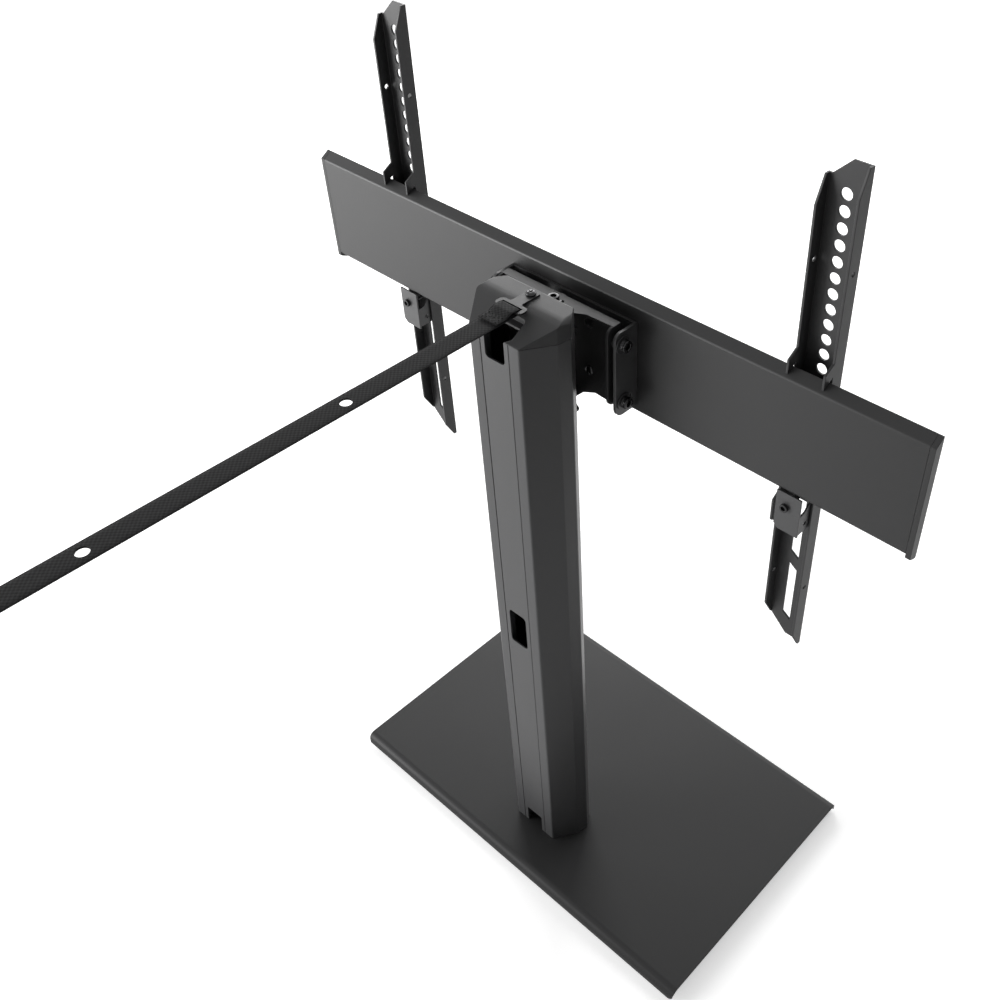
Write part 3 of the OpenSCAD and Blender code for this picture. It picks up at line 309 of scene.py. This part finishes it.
def applied(piece):
    bpy.context.view_layer.update()
    shaped = bpy.data.meshes.new_from_object(piece.evaluated_get(bpy.context.evaluated_depsgraph_get()))
    piece.modifiers.clear()
    old, piece.data = piece.data, shaped
    shaped.name = piece.name
    bpy.data.meshes.remove(old)


# The strap's route, from its sewn end round the clip's rear bar to the wall's anchor.
strapShape = {
    "width": 20.2,
    "thick": 1.6,
    "route": [(109.5, 716.9), (99, 716.9), (93, 719.4), (84.2, 719.4), (84.2, 715), (519, 715)],
    "bends": [0, 5, 5, 2, 2, 0],
    "bendSteps": 8,
    "longStep": 6.0,
    "acrossSteps": 10,
    "holes": [245.1, 443.3],
    "holeRadius": 4.75,
    "screwHole": (511, 2.1),
    "drillDepth": 6,
    "drillSteps": 40,
    "edgeRound": 0.62,
    "edgePower": 6,
    "crown": 0.10,
    "sharp": 50,
}


def bentRoute(points, bends, steps):
    route = [Vector(points[0])]
    for before, at, after, radius in zip(points, points[1:], points[2:], bends[1:]):
        a, b, c = Vector(before), Vector(at), Vector(after)
        u, w = (a - b).normalized(), (c - b).normalized()
        half = u.angle(w) / 2
        centre = b + (u + w).normalized() * (radius / math.sin(half))
        start, end = (b + arm * (radius / math.tan(half)) - centre for arm in (u, w))
        turn = start.angle_signed(end)
        for i in range(steps + 1):
            angle = -turn * i / steps
            route.append(centre + Vector((start.x * math.cos(angle) - start.y * math.sin(angle),
                                          start.x * math.sin(angle) + start.y * math.cos(angle))))
    route.append(Vector(points[-1]))
    return route


def evenRoute(route, step):
    even = [route[0]]
    for a, b in zip(route, route[1:]):
        count = max(1, round((b - a).length / step))
        even += [a.lerp(b, (i + 1) / count) for i in range(count)]
    return even


def strapSection(shape):
    half, thick = shape["width"] / 2, shape["thick"] / 2
    steps = shape["acrossSteps"]
    top = []
    for i in range(steps + 1):
        share = 2 * i / steps - 1
        edge = 1 - abs(share) ** shape["edgePower"] * shape["edgeRound"]
        top.append((half * share, thick * edge - shape["crown"] * (1 - edge)))
    return top + [(x, -y) for x, y in reversed(top)]


def strapBand(shape):
    route = evenRoute(bentRoute(shape["route"], shape["bends"], shape["bendSteps"]), shape["longStep"])
    section = strapSection(shape)
    bm = bmesh.new()
    uv = bm.loops.layers.uv.new("weave")
    rings, run, travelled = [], 0.0, []
    for i, point in enumerate(route):
        ahead = (route[min(i + 1, len(route) - 1)] - route[max(i - 1, 0)]).normalized()
        side = Vector((-ahead.y, ahead.x))
        run += (point - route[i - 1]).length if i else 0
        travelled.append(run)
        rings.append([bm.verts.new((x * mm, (point.x + side.x * y) * mm, (point.y + side.y * y) * mm))
                      for x, y in section])
    count = len(section)
    for i in range(len(rings) - 1):
        for j in range(count):
            k = (j + 1) % count
            face = bm.faces.new((rings[i][j], rings[i][k], rings[i + 1][k], rings[i + 1][j]))
            for loop, (ring, spot) in zip(face.loops, ((i, j), (i, k), (i + 1, k), (i + 1, j))):
                loop[uv].uv = (section[spot][0], travelled[ring])
    for ring, flip in ((rings[0], True), (rings[-1], False)):
        face = bm.faces.new(ring[::-1] if flip else ring)
        for loop in face.loops:
            loop[uv].uv = (loop.vert.co.x / mm, 0)
    bmesh.ops.recalc_face_normals(bm, faces=bm.faces)
    mesh = bpy.data.meshes.new("strap_band")
    bm.to_mesh(mesh)
    bm.free()
    return linked("strap_band", mesh, finishes["webbing"]), route


def drilled(piece, drills, depth, steps):
    bm = bmesh.new()
    for place, radius in drills:
        bmesh.ops.create_cone(bm, cap_ends=True, segments=steps, radius1=radius, radius2=radius,
                              depth=depth, matrix=Matrix.Translation(place))
    mesh = bpy.data.meshes.new("drill")
    bm.to_mesh(mesh)
    bm.free()
    drill = linked("drill", mesh, piece.data.materials[0])
    cut = piece.modifiers.new("drilled", "BOOLEAN")
    cut.object, cut.operation, cut.solver = drill, "DIFFERENCE", "EXACT"
    applied(piece)
    bpy.data.objects.remove(drill)


strapPiece, strapRoute = strapBand(strapShape)
strapZ = strapShape["route"][-1][1] * mm
strapDrills = [(y, strapShape["holeRadius"]) for y in strapShape["holes"]] + [strapShape["screwHole"]]
drilled(strapPiece, [((0, y * mm, strapZ), radius * mm) for y, radius in strapDrills],
        strapShape["drillDepth"] * mm, strapShape["drillSteps"])
strapPiece.data.shade_smooth()
strapPiece.data.set_sharp_from_angle(angle=math.radians(strapShape["sharp"]))
strapLength = sum((b - a).length for a, b in zip(strapRoute, strapRoute[1:])) * mm
print("strap made:", round(strapLength, 3), "m")

# Each solid is dressed as a merged copy with eased edges: its finish, and its edge radius in mm.
dressing = {
    "base_plate": ("base", 0.5),
    "pillar_shell": ("pillar", 0.35),
    "cable_cover": ("cover", 0.3),
    "pillar_cap": ("cap", 0.7),
    "head_block": ("block", 0.4),
    "head_mount": ("clip", 0.35),
    "swivel_bushes": ("nylon", 0.25),
    "swivel_stop": ("screw", 0.25),
    "strap_clip": ("clip", 0.25),
    "strap_anchor": ("bracket", 0.3),
    "swivel_bracket": ("clip", 0.35),
    "tilt_washers": ("nylon", 0.2),
    "tilt_nuts": ("screw", 0.3),
    "tilt_bracket": ("bracket", 0.4),
    "rail": ("rail", 0.4),
    "left_end_cap": ("rail", 0.3),
    "right_end_cap": ("rail", 0.3),
    "left_arm": ("arm", 0.35),
    "right_arm": ("arm", 0.35),
    "left_lock_plate": ("bracket", 0.3),
    "right_lock_plate": ("bracket", 0.3),
    "left_lock_nut": ("screw", 0.25),
    "right_lock_nut": ("screw", 0.25),
}
# Angles in degrees. Corners nearer than merge, in m, are one.
easing = {"merge": 2e-6, "flat": 0.7, "sharp": 32, "fittingSharp": 34, "segments": 2, "normalWeight": 60}
# The lock nut's shallow pocket stays sharp, because its walls are nearer to the slot than two eased edges.
sharpPlaces = {
    "left_arm": ((216, -13, 585), (234, -11, 612)),
    "right_arm": ((-234, -13, 585), (-216, -11, 612)),
}
noPlace = ((1, 1, 1), (0, 0, 0))


def standingFor(piece, node):
    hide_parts(node)
    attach(piece, frame["nodes"][node]["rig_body"])
    return piece


def dressed(node, finish, edge):
    bm = bmesh.new()
    bm.from_mesh(frame["nodes"][node].data)
    bmesh.ops.remove_doubles(bm, verts=bm.verts, dist=easing["merge"])
    bmesh.ops.dissolve_limit(bm, angle_limit=math.radians(easing["flat"]), verts=bm.verts, edges=bm.edges)
    low, high = sharpPlaces.get(node, noPlace)
    weights = bm.edges.layers.float.new("bevel_weight_edge")
    for e in bm.edges:
        kept = all(low[i] * mm < v.co[i] < high[i] * mm for v in e.verts for i in range(3))
        if e.is_manifold and not kept and e.calc_face_angle() > math.radians(easing["sharp"]):
            e[weights] = 1
    mesh = bpy.data.meshes.new(node + "_dressed")
    bm.to_mesh(mesh)
    bm.free()
    piece = linked(node + "_dressed", mesh, finishes[finish])
    ease = piece.modifiers.new("ease", "BEVEL")
    ease.width, ease.segments = edge * mm, easing["segments"]
    ease.limit_method = "WEIGHT"
    ease.use_clamp_overlap = False
    even = piece.modifiers.new("even", "WEIGHTED_NORMAL")
    even.weight, even.keep_sharp = easing["normalWeight"], True
    mesh.shade_smooth()
    return standingFor(piece, node)


pieces = {node: dressed(node, *how) for node, how in dressing.items()}
print("solids dressed:", len(pieces))


class Former(Net):  # a Geometry Nodes tree with named sizes, which sets one shape at every place
    def __init__(self, name, defaults):
        tree = bpy.data.node_groups.new(name, "GeometryNodeTree")
        tree.interface.new_socket("Places", in_out="INPUT", socket_type="NodeSocketGeometry")
        self.inputs = {}
        for label, value in defaults.items():
            kind = "NodeSocketInt" if isinstance(value, int) else "NodeSocketFloat"
            socket = tree.interface.new_socket(label, in_out="INPUT", socket_type=kind)
            socket.default_value = value
            self.inputs[label] = socket.identifier
        tree.interface.new_socket("Pieces", in_out="OUTPUT", socket_type="NodeSocketGeometry")
        super().__init__(tree)
        self.entry = self.nodes.new("NodeGroupInput")

    def size(self, label):
        return Wire(self, self.entry.outputs[label])

    def chosen(self, row, values):
        made = self.nodes.new("GeometryNodeIndexSwitch")
        made.data_type = "FLOAT"
        while len(made.index_switch_items) < len(values):
            made.index_switch_items.new()
        self.links.new(row.socket, made.inputs[0])
        for socket, value in zip(made.inputs[1:], values):
            socket.default_value = value
        return Wire(self, made.outputs[0])

    def turned(self, rows, around, radius, height):
        grid = self.node("GeometryNodeMeshGrid", None, {"Size X": 1, "Size Y": 1, "Vertices X": rows,
                                                        "Vertices Y": around + 1})
        across, down = self.parts(self.node("GeometryNodeInputPosition"))
        row = ((across + 0.5) * (rows - 1) + 0.5).whole()
        angle = (down + 0.5) * (2 * math.pi)
        r, z = radius(row, angle), height(row)
        place = self.node("ShaderNodeCombineXYZ", None, {0: r * angle.cosine(), 1: r * angle.sine(), 2: z})
        shape = self.node("GeometryNodeSetPosition", None, {"Geometry": grid, "Position": place})
        return self.node("GeometryNodeMergeByDistance", None, {"Geometry": shape, "Distance": easing["merge"]})

    def spread(self, shape, finish, points=None, along=None):
        points = points or Wire(self, self.entry.outputs[0])
        along = along or self.node("GeometryNodeInputNamedAttribute", {"data_type": "FLOAT_VECTOR"},
                                   {"Name": "facing"})
        turn = self.node("FunctionNodeAlignRotationToVector", {"axis": "Z"}, {"Vector": along})
        placed = self.node("GeometryNodeInstanceOnPoints", None,
                           {"Points": points, "Instance": shape, "Rotation": turn})
        real = self.node("GeometryNodeRealizeInstances", None, {"Geometry": placed})
        coated = self.node("GeometryNodeSetMaterial", None, {"Geometry": real, "Material": finish})
        self.node("NodeGroupOutput", None, {0: coated})
        return self


def hexForm(angle):  # 1 at a hexagon's corners, less along its flats
    return math.cos(math.pi / 6) / ((angle * (3 / math.pi)).part() * (math.pi / 3) - math.pi / 6).cosine()


def crossForm(angle, slim):  # 1 at the end of each arm of a cross
    turn = ((angle * (2 / math.pi) + 0.5).part() - 0.5).size() * (math.pi / 2)
    return (1 / turn.cosine()).atMost(slim / (turn.sine() + 0.0001))  # never a division by 0


# Rings of a head from the socket's floor out and down to the seat: radius and height as shares, and form.
socketHead = {
    "stations": [(0, 0.33, ""), (0.58, 0.33, "drive"), (0.58, 0.93, "drive"), (0.64, 1, "drive"),
                 (0.90, 1, ""), (0.97, 0.97, ""), (0.995, 0.91, ""), (1, 0.84, ""), (1, 0.80, "knurl"),
                 (1, 0.16, "knurl"), (1, 0.12, ""), (0.985, 0.03, ""), (0.95, 0, "")],
    "around": 72,
    "slim": None,
}
crossHead = {
    "stations": [(0, 0.33, ""), (0.53, 0.36, "drive"), (0.55, 0.97, "drive"), (0.57, 1, ""),
                 (0.70, 0.94, ""), (0.82, 0.83, ""), (0.92, 0.67, ""), (0.98, 0.48, ""), (1, 0.30, ""),
                 (1, 0.10, ""), (0.96, 0, "")],
    "around": 72,
    "slim": 0.24,
}
screwSizes = {"Head radius": 5 * mm, "Head height": 4 * mm, "Shank radius": 3 * mm, "Reach": 12 * mm,
              "Plain length": 4 * mm, "Pitch": 1 * mm, "Thread depth": 0.3 * mm, "Thread rows": 40,
              "Knurls": 18, "Knurl depth": 0.035}


# In each tree below, a row is one ring round the shape's axis, and the rows follow each other along its
# outline. A row is compared with a half, such as steps + 0.5, to tell it from the next one.
def screwTree(name, head, finish):
    net = Former(name, screwSizes)
    stations = head["stations"]
    seat = len(stations)
    steps, reach, plain = net.size("Thread rows"), net.size("Reach"), net.size("Plain length")

    def height(row):
        top = net.size("Head height") * net.chosen(row, [s[1] for s in stations])
        step = row - seat
        return top - (plain + (step - 1) * (reach - plain) / steps).atMost(reach) * (step > 0.5)

    def radius(row, angle):
        shape = hexForm(angle) if head["slim"] is None else crossForm(angle, head["slim"])
        driven = net.chosen(row, [float(s[2] == "drive") for s in stations])
        knurled = net.chosen(row, [float(s[2] == "knurl") for s in stations])
        ridge = (angle * net.size("Knurls")).cosine() * 0.5 + 0.5
        top = (net.size("Head radius") * net.chosen(row, [s[0] for s in stations])
               * (1 + driven * (shape - 1)) * (1 - knurled * ridge * net.size("Knurl depth")))
        step = row - seat
        wave = ((height(row) / net.size("Pitch") + angle / (2 * math.pi)).part() - 0.5).size() * 2
        body = net.size("Shank radius") - net.size("Thread depth") * wave * (step > 1.5)
        return top * (step < -0.5) + body * (step > -0.5) * (step < steps + 1.5)

    return net.spread(net.turned(steps + (seat + 3), head["around"], radius, height), finish)


ringPoints = {"rivet": 40, "nut": 48, "foot": 64, "stitch": 10}


def rivetTree(name, finish):
    net = Former(name, {"Head radius": 4.3 * mm, "Head height": 2.2 * mm, "Shank radius": 2.5 * mm,
                        "Reach": 2.5 * mm, "Dome rows": 10})
    rows, steps = net.size("Dome rows") + 4, net.size("Dome rows")

    def bend(row):
        return (row / steps).atMost(1) * (math.pi / 2)

    def height(row):
        return net.size("Head height") * bend(row).cosine() - net.size("Reach") * (row > steps + 1.5)

    def radius(row, angle):
        head = net.size("Head radius") * bend(row).sine() * (row < steps + 0.5)
        return head + net.size("Shank radius") * (row > steps + 0.5) * (row < steps + 2.5)

    return net.spread(net.turned(rows, ringPoints["rivet"], radius, height), finish)


def nutTree(name, finish):
    net = Former(name, {"Radius": 6 * mm, "Height": 4 * mm, "Bore": 3 * mm, "Edge": 0.3 * mm})
    # One column for each row: whether it has six sides, and its shares of radius, bore, edge and height.
    hexed = [0, 0, 0, 1, 1, 0, 0, 0, 0]
    outer = [0, 0, 0.86, 1, 1, 0.86, 0, 0, 0]
    bored = [1, 1, 0, 0, 0, 0, 1, 1, 1]
    eased = [0, 1, 0, 0, 0, 0, 1, 0, 0]
    tall = [0, 0, 0, 0, 1, 1, 1, 1, 0]
    rise = [1, 0, 0, 1.5, -1.5, 0, 0, -1, 1]

    def height(row):
        return net.size("Height") * net.chosen(row, tall) + net.size("Edge") * net.chosen(row, rise)

    def radius(row, angle):
        flats = 1 + net.chosen(row, hexed) * (hexForm(angle) - 1)
        return (net.size("Radius") * net.chosen(row, outer) * flats + net.size("Bore") * net.chosen(row, bored)
                + net.size("Edge") * net.chosen(row, eased))

    return net.spread(net.turned(len(tall), ringPoints["nut"], radius, height), finish)


ribbing = {"rows": 4, "groove": 0.4, "lip": 0.3}  # rows of a rib, and shares of a rib and of the bevel


def footTree(name, finish):
    net = Former(name, {"Radius": 15 * mm, "Height": 13 * mm, "Bevel": 1.5 * mm, "Rib depth": 0.8 * mm,
                        "Ribs": 5})
    rows, lip = ribbing["rows"], ribbing["lip"]
    last = net.size("Ribs") * rows

    def height(row):
        rib = net.size("Rib depth") * ((row / rows).part() < ribbing["groove"]) * (row < last - 0.5)
        wall = net.size("Height") - net.size("Bevel") * (1 + lip)
        side = net.size("Bevel") * (row > last + 0.5) + wall * (row > last + 1.5)
        return rib + side + net.size("Bevel") * lip * (row > last + 2.5)

    def radius(row, angle):
        flat = (net.size("Radius") - net.size("Bevel")) * (row / last).atMost(1)
        side = net.size("Bevel") * (row > last + 0.5) - net.size("Bevel") * lip * (row > last + 2.5)
        return (flat + side) * (row < last + 3.5)

    return net.spread(net.turned(last + 5, ringPoints["foot"], radius, height), finish)


stitchRows = 9


def stitchTree(name, finish):
    net = Former(name, {"Stitch": 2.3 * mm, "Pitch": 2.9 * mm, "Thread": 0.36 * mm})
    line = net.node("GeometryNodeMeshToCurve", None, {"Mesh": Wire(net, net.entry.outputs[0])})
    even = net.node("GeometryNodeResampleCurve", {"mode": "LENGTH"},
                    {"Curve": line, "Length": net.size("Pitch")})
    along = net.node("GeometryNodeInputTangent")

    def height(row):
        return net.size("Stitch") * (row / (stitchRows - 1) - 0.5)

    def radius(row, angle):
        return net.size("Thread") * (row * (math.pi / (stitchRows - 1))).sine()

    return net.spread(net.turned(stitchRows, ringPoints["stitch"], radius, height), finish, even, along)


def settled(name, host, net, values):
    piece = linked(name, host, finishes["screw"])
    form = piece.modifiers.new("form", "NODES")
    form.node_group = net.tree
    for label, value in values.items():
        form[net.inputs[label]] = value
    applied(piece)
    bm = bmesh.new()
    bm.from_mesh(piece.data)
    bmesh.ops.recalc_face_normals(bm, faces=bm.faces)
    bm.to_mesh(piece.data)
    bm.free()
    piece.data.shade_smooth()
    piece.data.set_sharp_from_angle(angle=math.radians(easing["fittingSharp"]))
    return piece


unitless = {"Thread rows", "Knurls", "Knurl depth", "Dome rows", "Ribs"}  # the other named inputs are lengths


def formed(node, net, facing, places, shape):
    host = bpy.data.meshes.new(node + "_formed")
    host.from_pydata([Vector(place[:3]) * mm for place in places], [], [])
    turn = host.attributes.new("facing", "FLOAT_VECTOR", "POINT")
    for i, place in enumerate(places):
        turn.data[i].vector = place[3] if len(place) > 3 else facing
    values = {label: value if label in unitless else value * mm for label, value in shape.items()}
    return standingFor(settled(node + "_formed", host, net, values), node)


trees = {
    "socket": screwTree("socketScrew", socketHead, finishes["screw"]),
    "cross": screwTree("crossScrew", crossHead, finishes["screw"]),
    "rivet": rivetTree("domedRivet", finishes["screw"]),
    "nut": nutTree("hexNut", finishes["screw"]),
    "foot": footTree("ribbedFoot", finishes["rubber"]),
}
outward = {1: (1, 0, 0), -1: (-1, 0, 0)}
threading = {"pitch": 1.0, "depth": 0.28, "rowsPerMm": 3, "fewestRows": 4, "knurl": 0.035}


def screwShape(head, tall, shank, reach, plain, knurl=threading["knurl"]):
    rows = max(threading["fewestRows"], round((reach - plain) * threading["rowsPerMm"]))
    return {"Head radius": head, "Head height": tall, "Shank radius": shank, "Reach": reach,
            "Plain length": plain, "Pitch": threading["pitch"], "Thread depth": threading["depth"],
            "Thread rows": rows, "Knurl depth": knurl}


ports = [(30, 58.5), (-30, 58.5), (28, 92), (-28, 92)]  # the pillar's screw ports
lockScrew = screwShape(3.8, 2.8, 2.5, 27.9, 8)
tiltBolt = screwShape(5.3, 5, 3, 14.3, 4)

# Repeated fittings: their tree, the way they face, their seats in mm, and their sizes in mm. A screw's sizes
# are its head's radius and height, its shank's radius, its reach and plain length, and its knurls' depth.
fittings = {
    "foot_screws": ("socket", (0, 0, -1), [(x, y, 13) for x, y in ports], screwShape(5.2, 3.4, 3, 24, 4, 0)),
    "head_mount_bolts": ("socket", (0, -1, 0), [(x, 48, z) for x in (15, -15) for z in (671.5, 631.5)],
                         screwShape(5, 4, 3, 16.5, 3)),
    "clip_screw": ("cross", (0, 0, 1), [(0, 62, 718.5)], screwShape(4.3, 2.6, 2.5, 33, 6, 0)),
    "anchor_screw": ("socket", (0, 0, 1), [(0, 511, 715.8)], screwShape(4, 2.2, 2, 7, 2, 0)),
    "stop_rivets": ("rivet", (0, 1, 0), [(x, 28.5, 642) for x in (30, -30)],
                    {"Head radius": 4.3, "Head height": 2.2, "Shank radius": 2.5, "Reach": 2.5}),
    "swivel_bolt": ("socket", (0, 0, 1), [(0, 37.2, 702)], screwShape(4.8, 4, 3.5, 103.5, 80)),
    "swivel_nut": ("nut", (0, 0, -1), [(0, 37.2, 604)], {"Radius": 6.5, "Height": 5.5, "Bore": 3.55}),
    "tilt_pivot_bolts": ("socket", None, [(sx * 71.3, 32.6, 687.5, outward[sx]) for sx in (1, -1)], tiltBolt),
    "tilt_lock_bolts": ("socket", None, [(sx * 71.3, 31, 631, outward[sx]) for sx in (1, -1)], tiltBolt),
    "rail_bolts": ("socket", (0, -1, 0), [(x, 11.8, z) for x in (40, -40) for z in (685, 652)],
                   screwShape(5.5, 2.4, 3, 8.7, 2, 0)),
    "rail_nuts": ("nut", (0, 1, 0), [(x, 16.5, z) for x in (40, -40) for z in (685, 652)],
                  {"Radius": 5.8, "Height": 4.0, "Bore": 3.05}),
    "left_lock_screw": ("socket", (0, 1, 0), [(224.8, 15.8, 596)], lockScrew),
    "right_lock_screw": ("socket", (0, 1, 0), [(-224.8, 15.8, 596)], lockScrew),
    "base_feet": ("foot", (0, 0, 1), [(x, y, 0) for x in (214, -214) for y in (121, -121)],
                  {"Radius": 15.0, "Height": 13.0, "Bevel": 1.5}),
}
for node, (tree, facing, places, shape) in fittings.items():
    pieces[node] = formed(node, trees[tree], facing, places, shape)
print("fittings formed:", len(fittings))

# A box with a cross in it, sewn through the strap's two layers beside the clip.
sewing = {"half": 7.2, "near": 100.4, "far": 108.0, "top": 717.72}


def sewn(shape):
    low, high, half = shape["near"], shape["far"], shape["half"]
    corners = [(-half, low), (half, low), (half, high), (-half, high)]
    host = bpy.data.meshes.new("strap_stitches")
    host.from_pydata([Vector((x, y, shape["top"])) * mm for x, y in corners],
                     [(0, 1), (1, 2), (2, 3), (3, 0), (0, 2), (1, 3)], [])
    piece = settled("strap_stitches", host, stitchTree("stitches", finishes["webbing"]), {})
    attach(piece, "stand")
    return piece


stitches = sewn(sewing)
print("stitches sewn:", len(stitches.data.polygons))

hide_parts("strap")
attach(strapPiece, "stand")
[(0, p.x * mm, p.y * mm) for p in strapRoute]

# The floor glows to the camera and in gloss. To the camera it turns white between farFrom's two distances.
studio = {
    "floorReach": 12,
    "floorLevel": 0.80,
    "floorShades": (0.99, 1.01),
    "speckle": 30,
    "floorGlow": 0.55,
    "farGlow": 1.0,
    "farFrom": (1.0, 2.0),
    "fill": 0.08,
    "aim": (0, 0, 0.45),
    "lamps": [
        {"name": "rearSoftbox", "place": (1.66, 1.66, 0.72), "size": 1.2, "power": 60},
        {"name": "frontSoftbox", "place": (1.474, -1.474, 1.422), "size": 1.3, "power": 37},
        {"name": "middleSoftbox", "place": (0, -2.084, 1.422), "size": 1.3, "power": 20},
        {"name": "endSoftbox", "place": (2.084, 0, 1.422), "size": 1.3, "power": 7},
    ],
}


def studioFloor(look):
    bm = bmesh.new()
    bmesh.ops.create_grid(bm, x_segments=1, y_segments=1, size=look["floorReach"])
    mesh = bpy.data.meshes.new("studio_floor")
    bm.to_mesh(mesh)
    bm.free()
    net = Finish("paleFloor")
    dark, light = (grey(look["floorLevel"] * shade, 0) for shade in look["floorShades"])
    colour = net.mixed(net.noise(net.place(), look["speckle"], 2), dark, light)
    matte = net.node("ShaderNodeBsdfDiffuse", None, {"Color": colour})
    near, far = look["farFrom"]
    away = net.node("ShaderNodeVectorMath", {"operation": "LENGTH"}, {0: net.place()}, out=1)
    share = ((away - near) / (far - near)).atLeast(0).atMost(1)
    seen = net.ray("Is Camera Ray")
    glow = net.mixed(share * seen, grey(look["floorGlow"], 0), grey(look["farGlow"], 0))
    glowing = net.node("ShaderNodeEmission", None, {"Color": glow})
    both = net.node("ShaderNodeAddShader", None, {0: matte, 1: glowing})
    shown = seen.atLeast(net.ray("Is Glossy Ray"))
    mix = net.node("ShaderNodeMixShader", None, {0: shown, 1: matte, 2: both})
    net.node("ShaderNodeOutputMaterial", None, {"Surface": mix})
    linked("studio_floor", mesh, net.material)


def studioWorld(fill):
    world = bpy.data.worlds.new("paleStudio")
    world.use_nodes = True
    scene.world = world
    net = Net(world.node_tree)
    shown = net.ray("Is Camera Ray").atLeast(net.ray("Is Glossy Ray")).atLeast(net.ray("Is Transmission Ray"))
    plain, white = (net.node("ShaderNodeBackground", None, {"Color": (1, 1, 1, 1), "Strength": strength})
                    for strength in (fill, 1))
    mix = net.node("ShaderNodeMixShader", None, {0: shown, 1: plain, 2: white})
    net.node("ShaderNodeOutputWorld", None, {"Surface": mix})


def softbox(lamp, target):
    data = bpy.data.lights.new(lamp["name"], "AREA")
    data.shape, data.size, data.energy = "SQUARE", lamp["size"], lamp["power"]
    light = bpy.data.objects.new(lamp["name"], data)
    light.location = lamp["place"]
    aim = Vector(target) - Vector(lamp["place"])
    light.rotation_euler = aim.to_track_quat("-Z", "Y").to_euler()
    scene.collection.objects.link(light)


studioFloor(studio)
studioWorld(studio["fill"])
for lamp in studio["lamps"]:
    softbox(lamp, studio["aim"])
scene.view_settings.view_transform = "Standard"
print("studio lit")
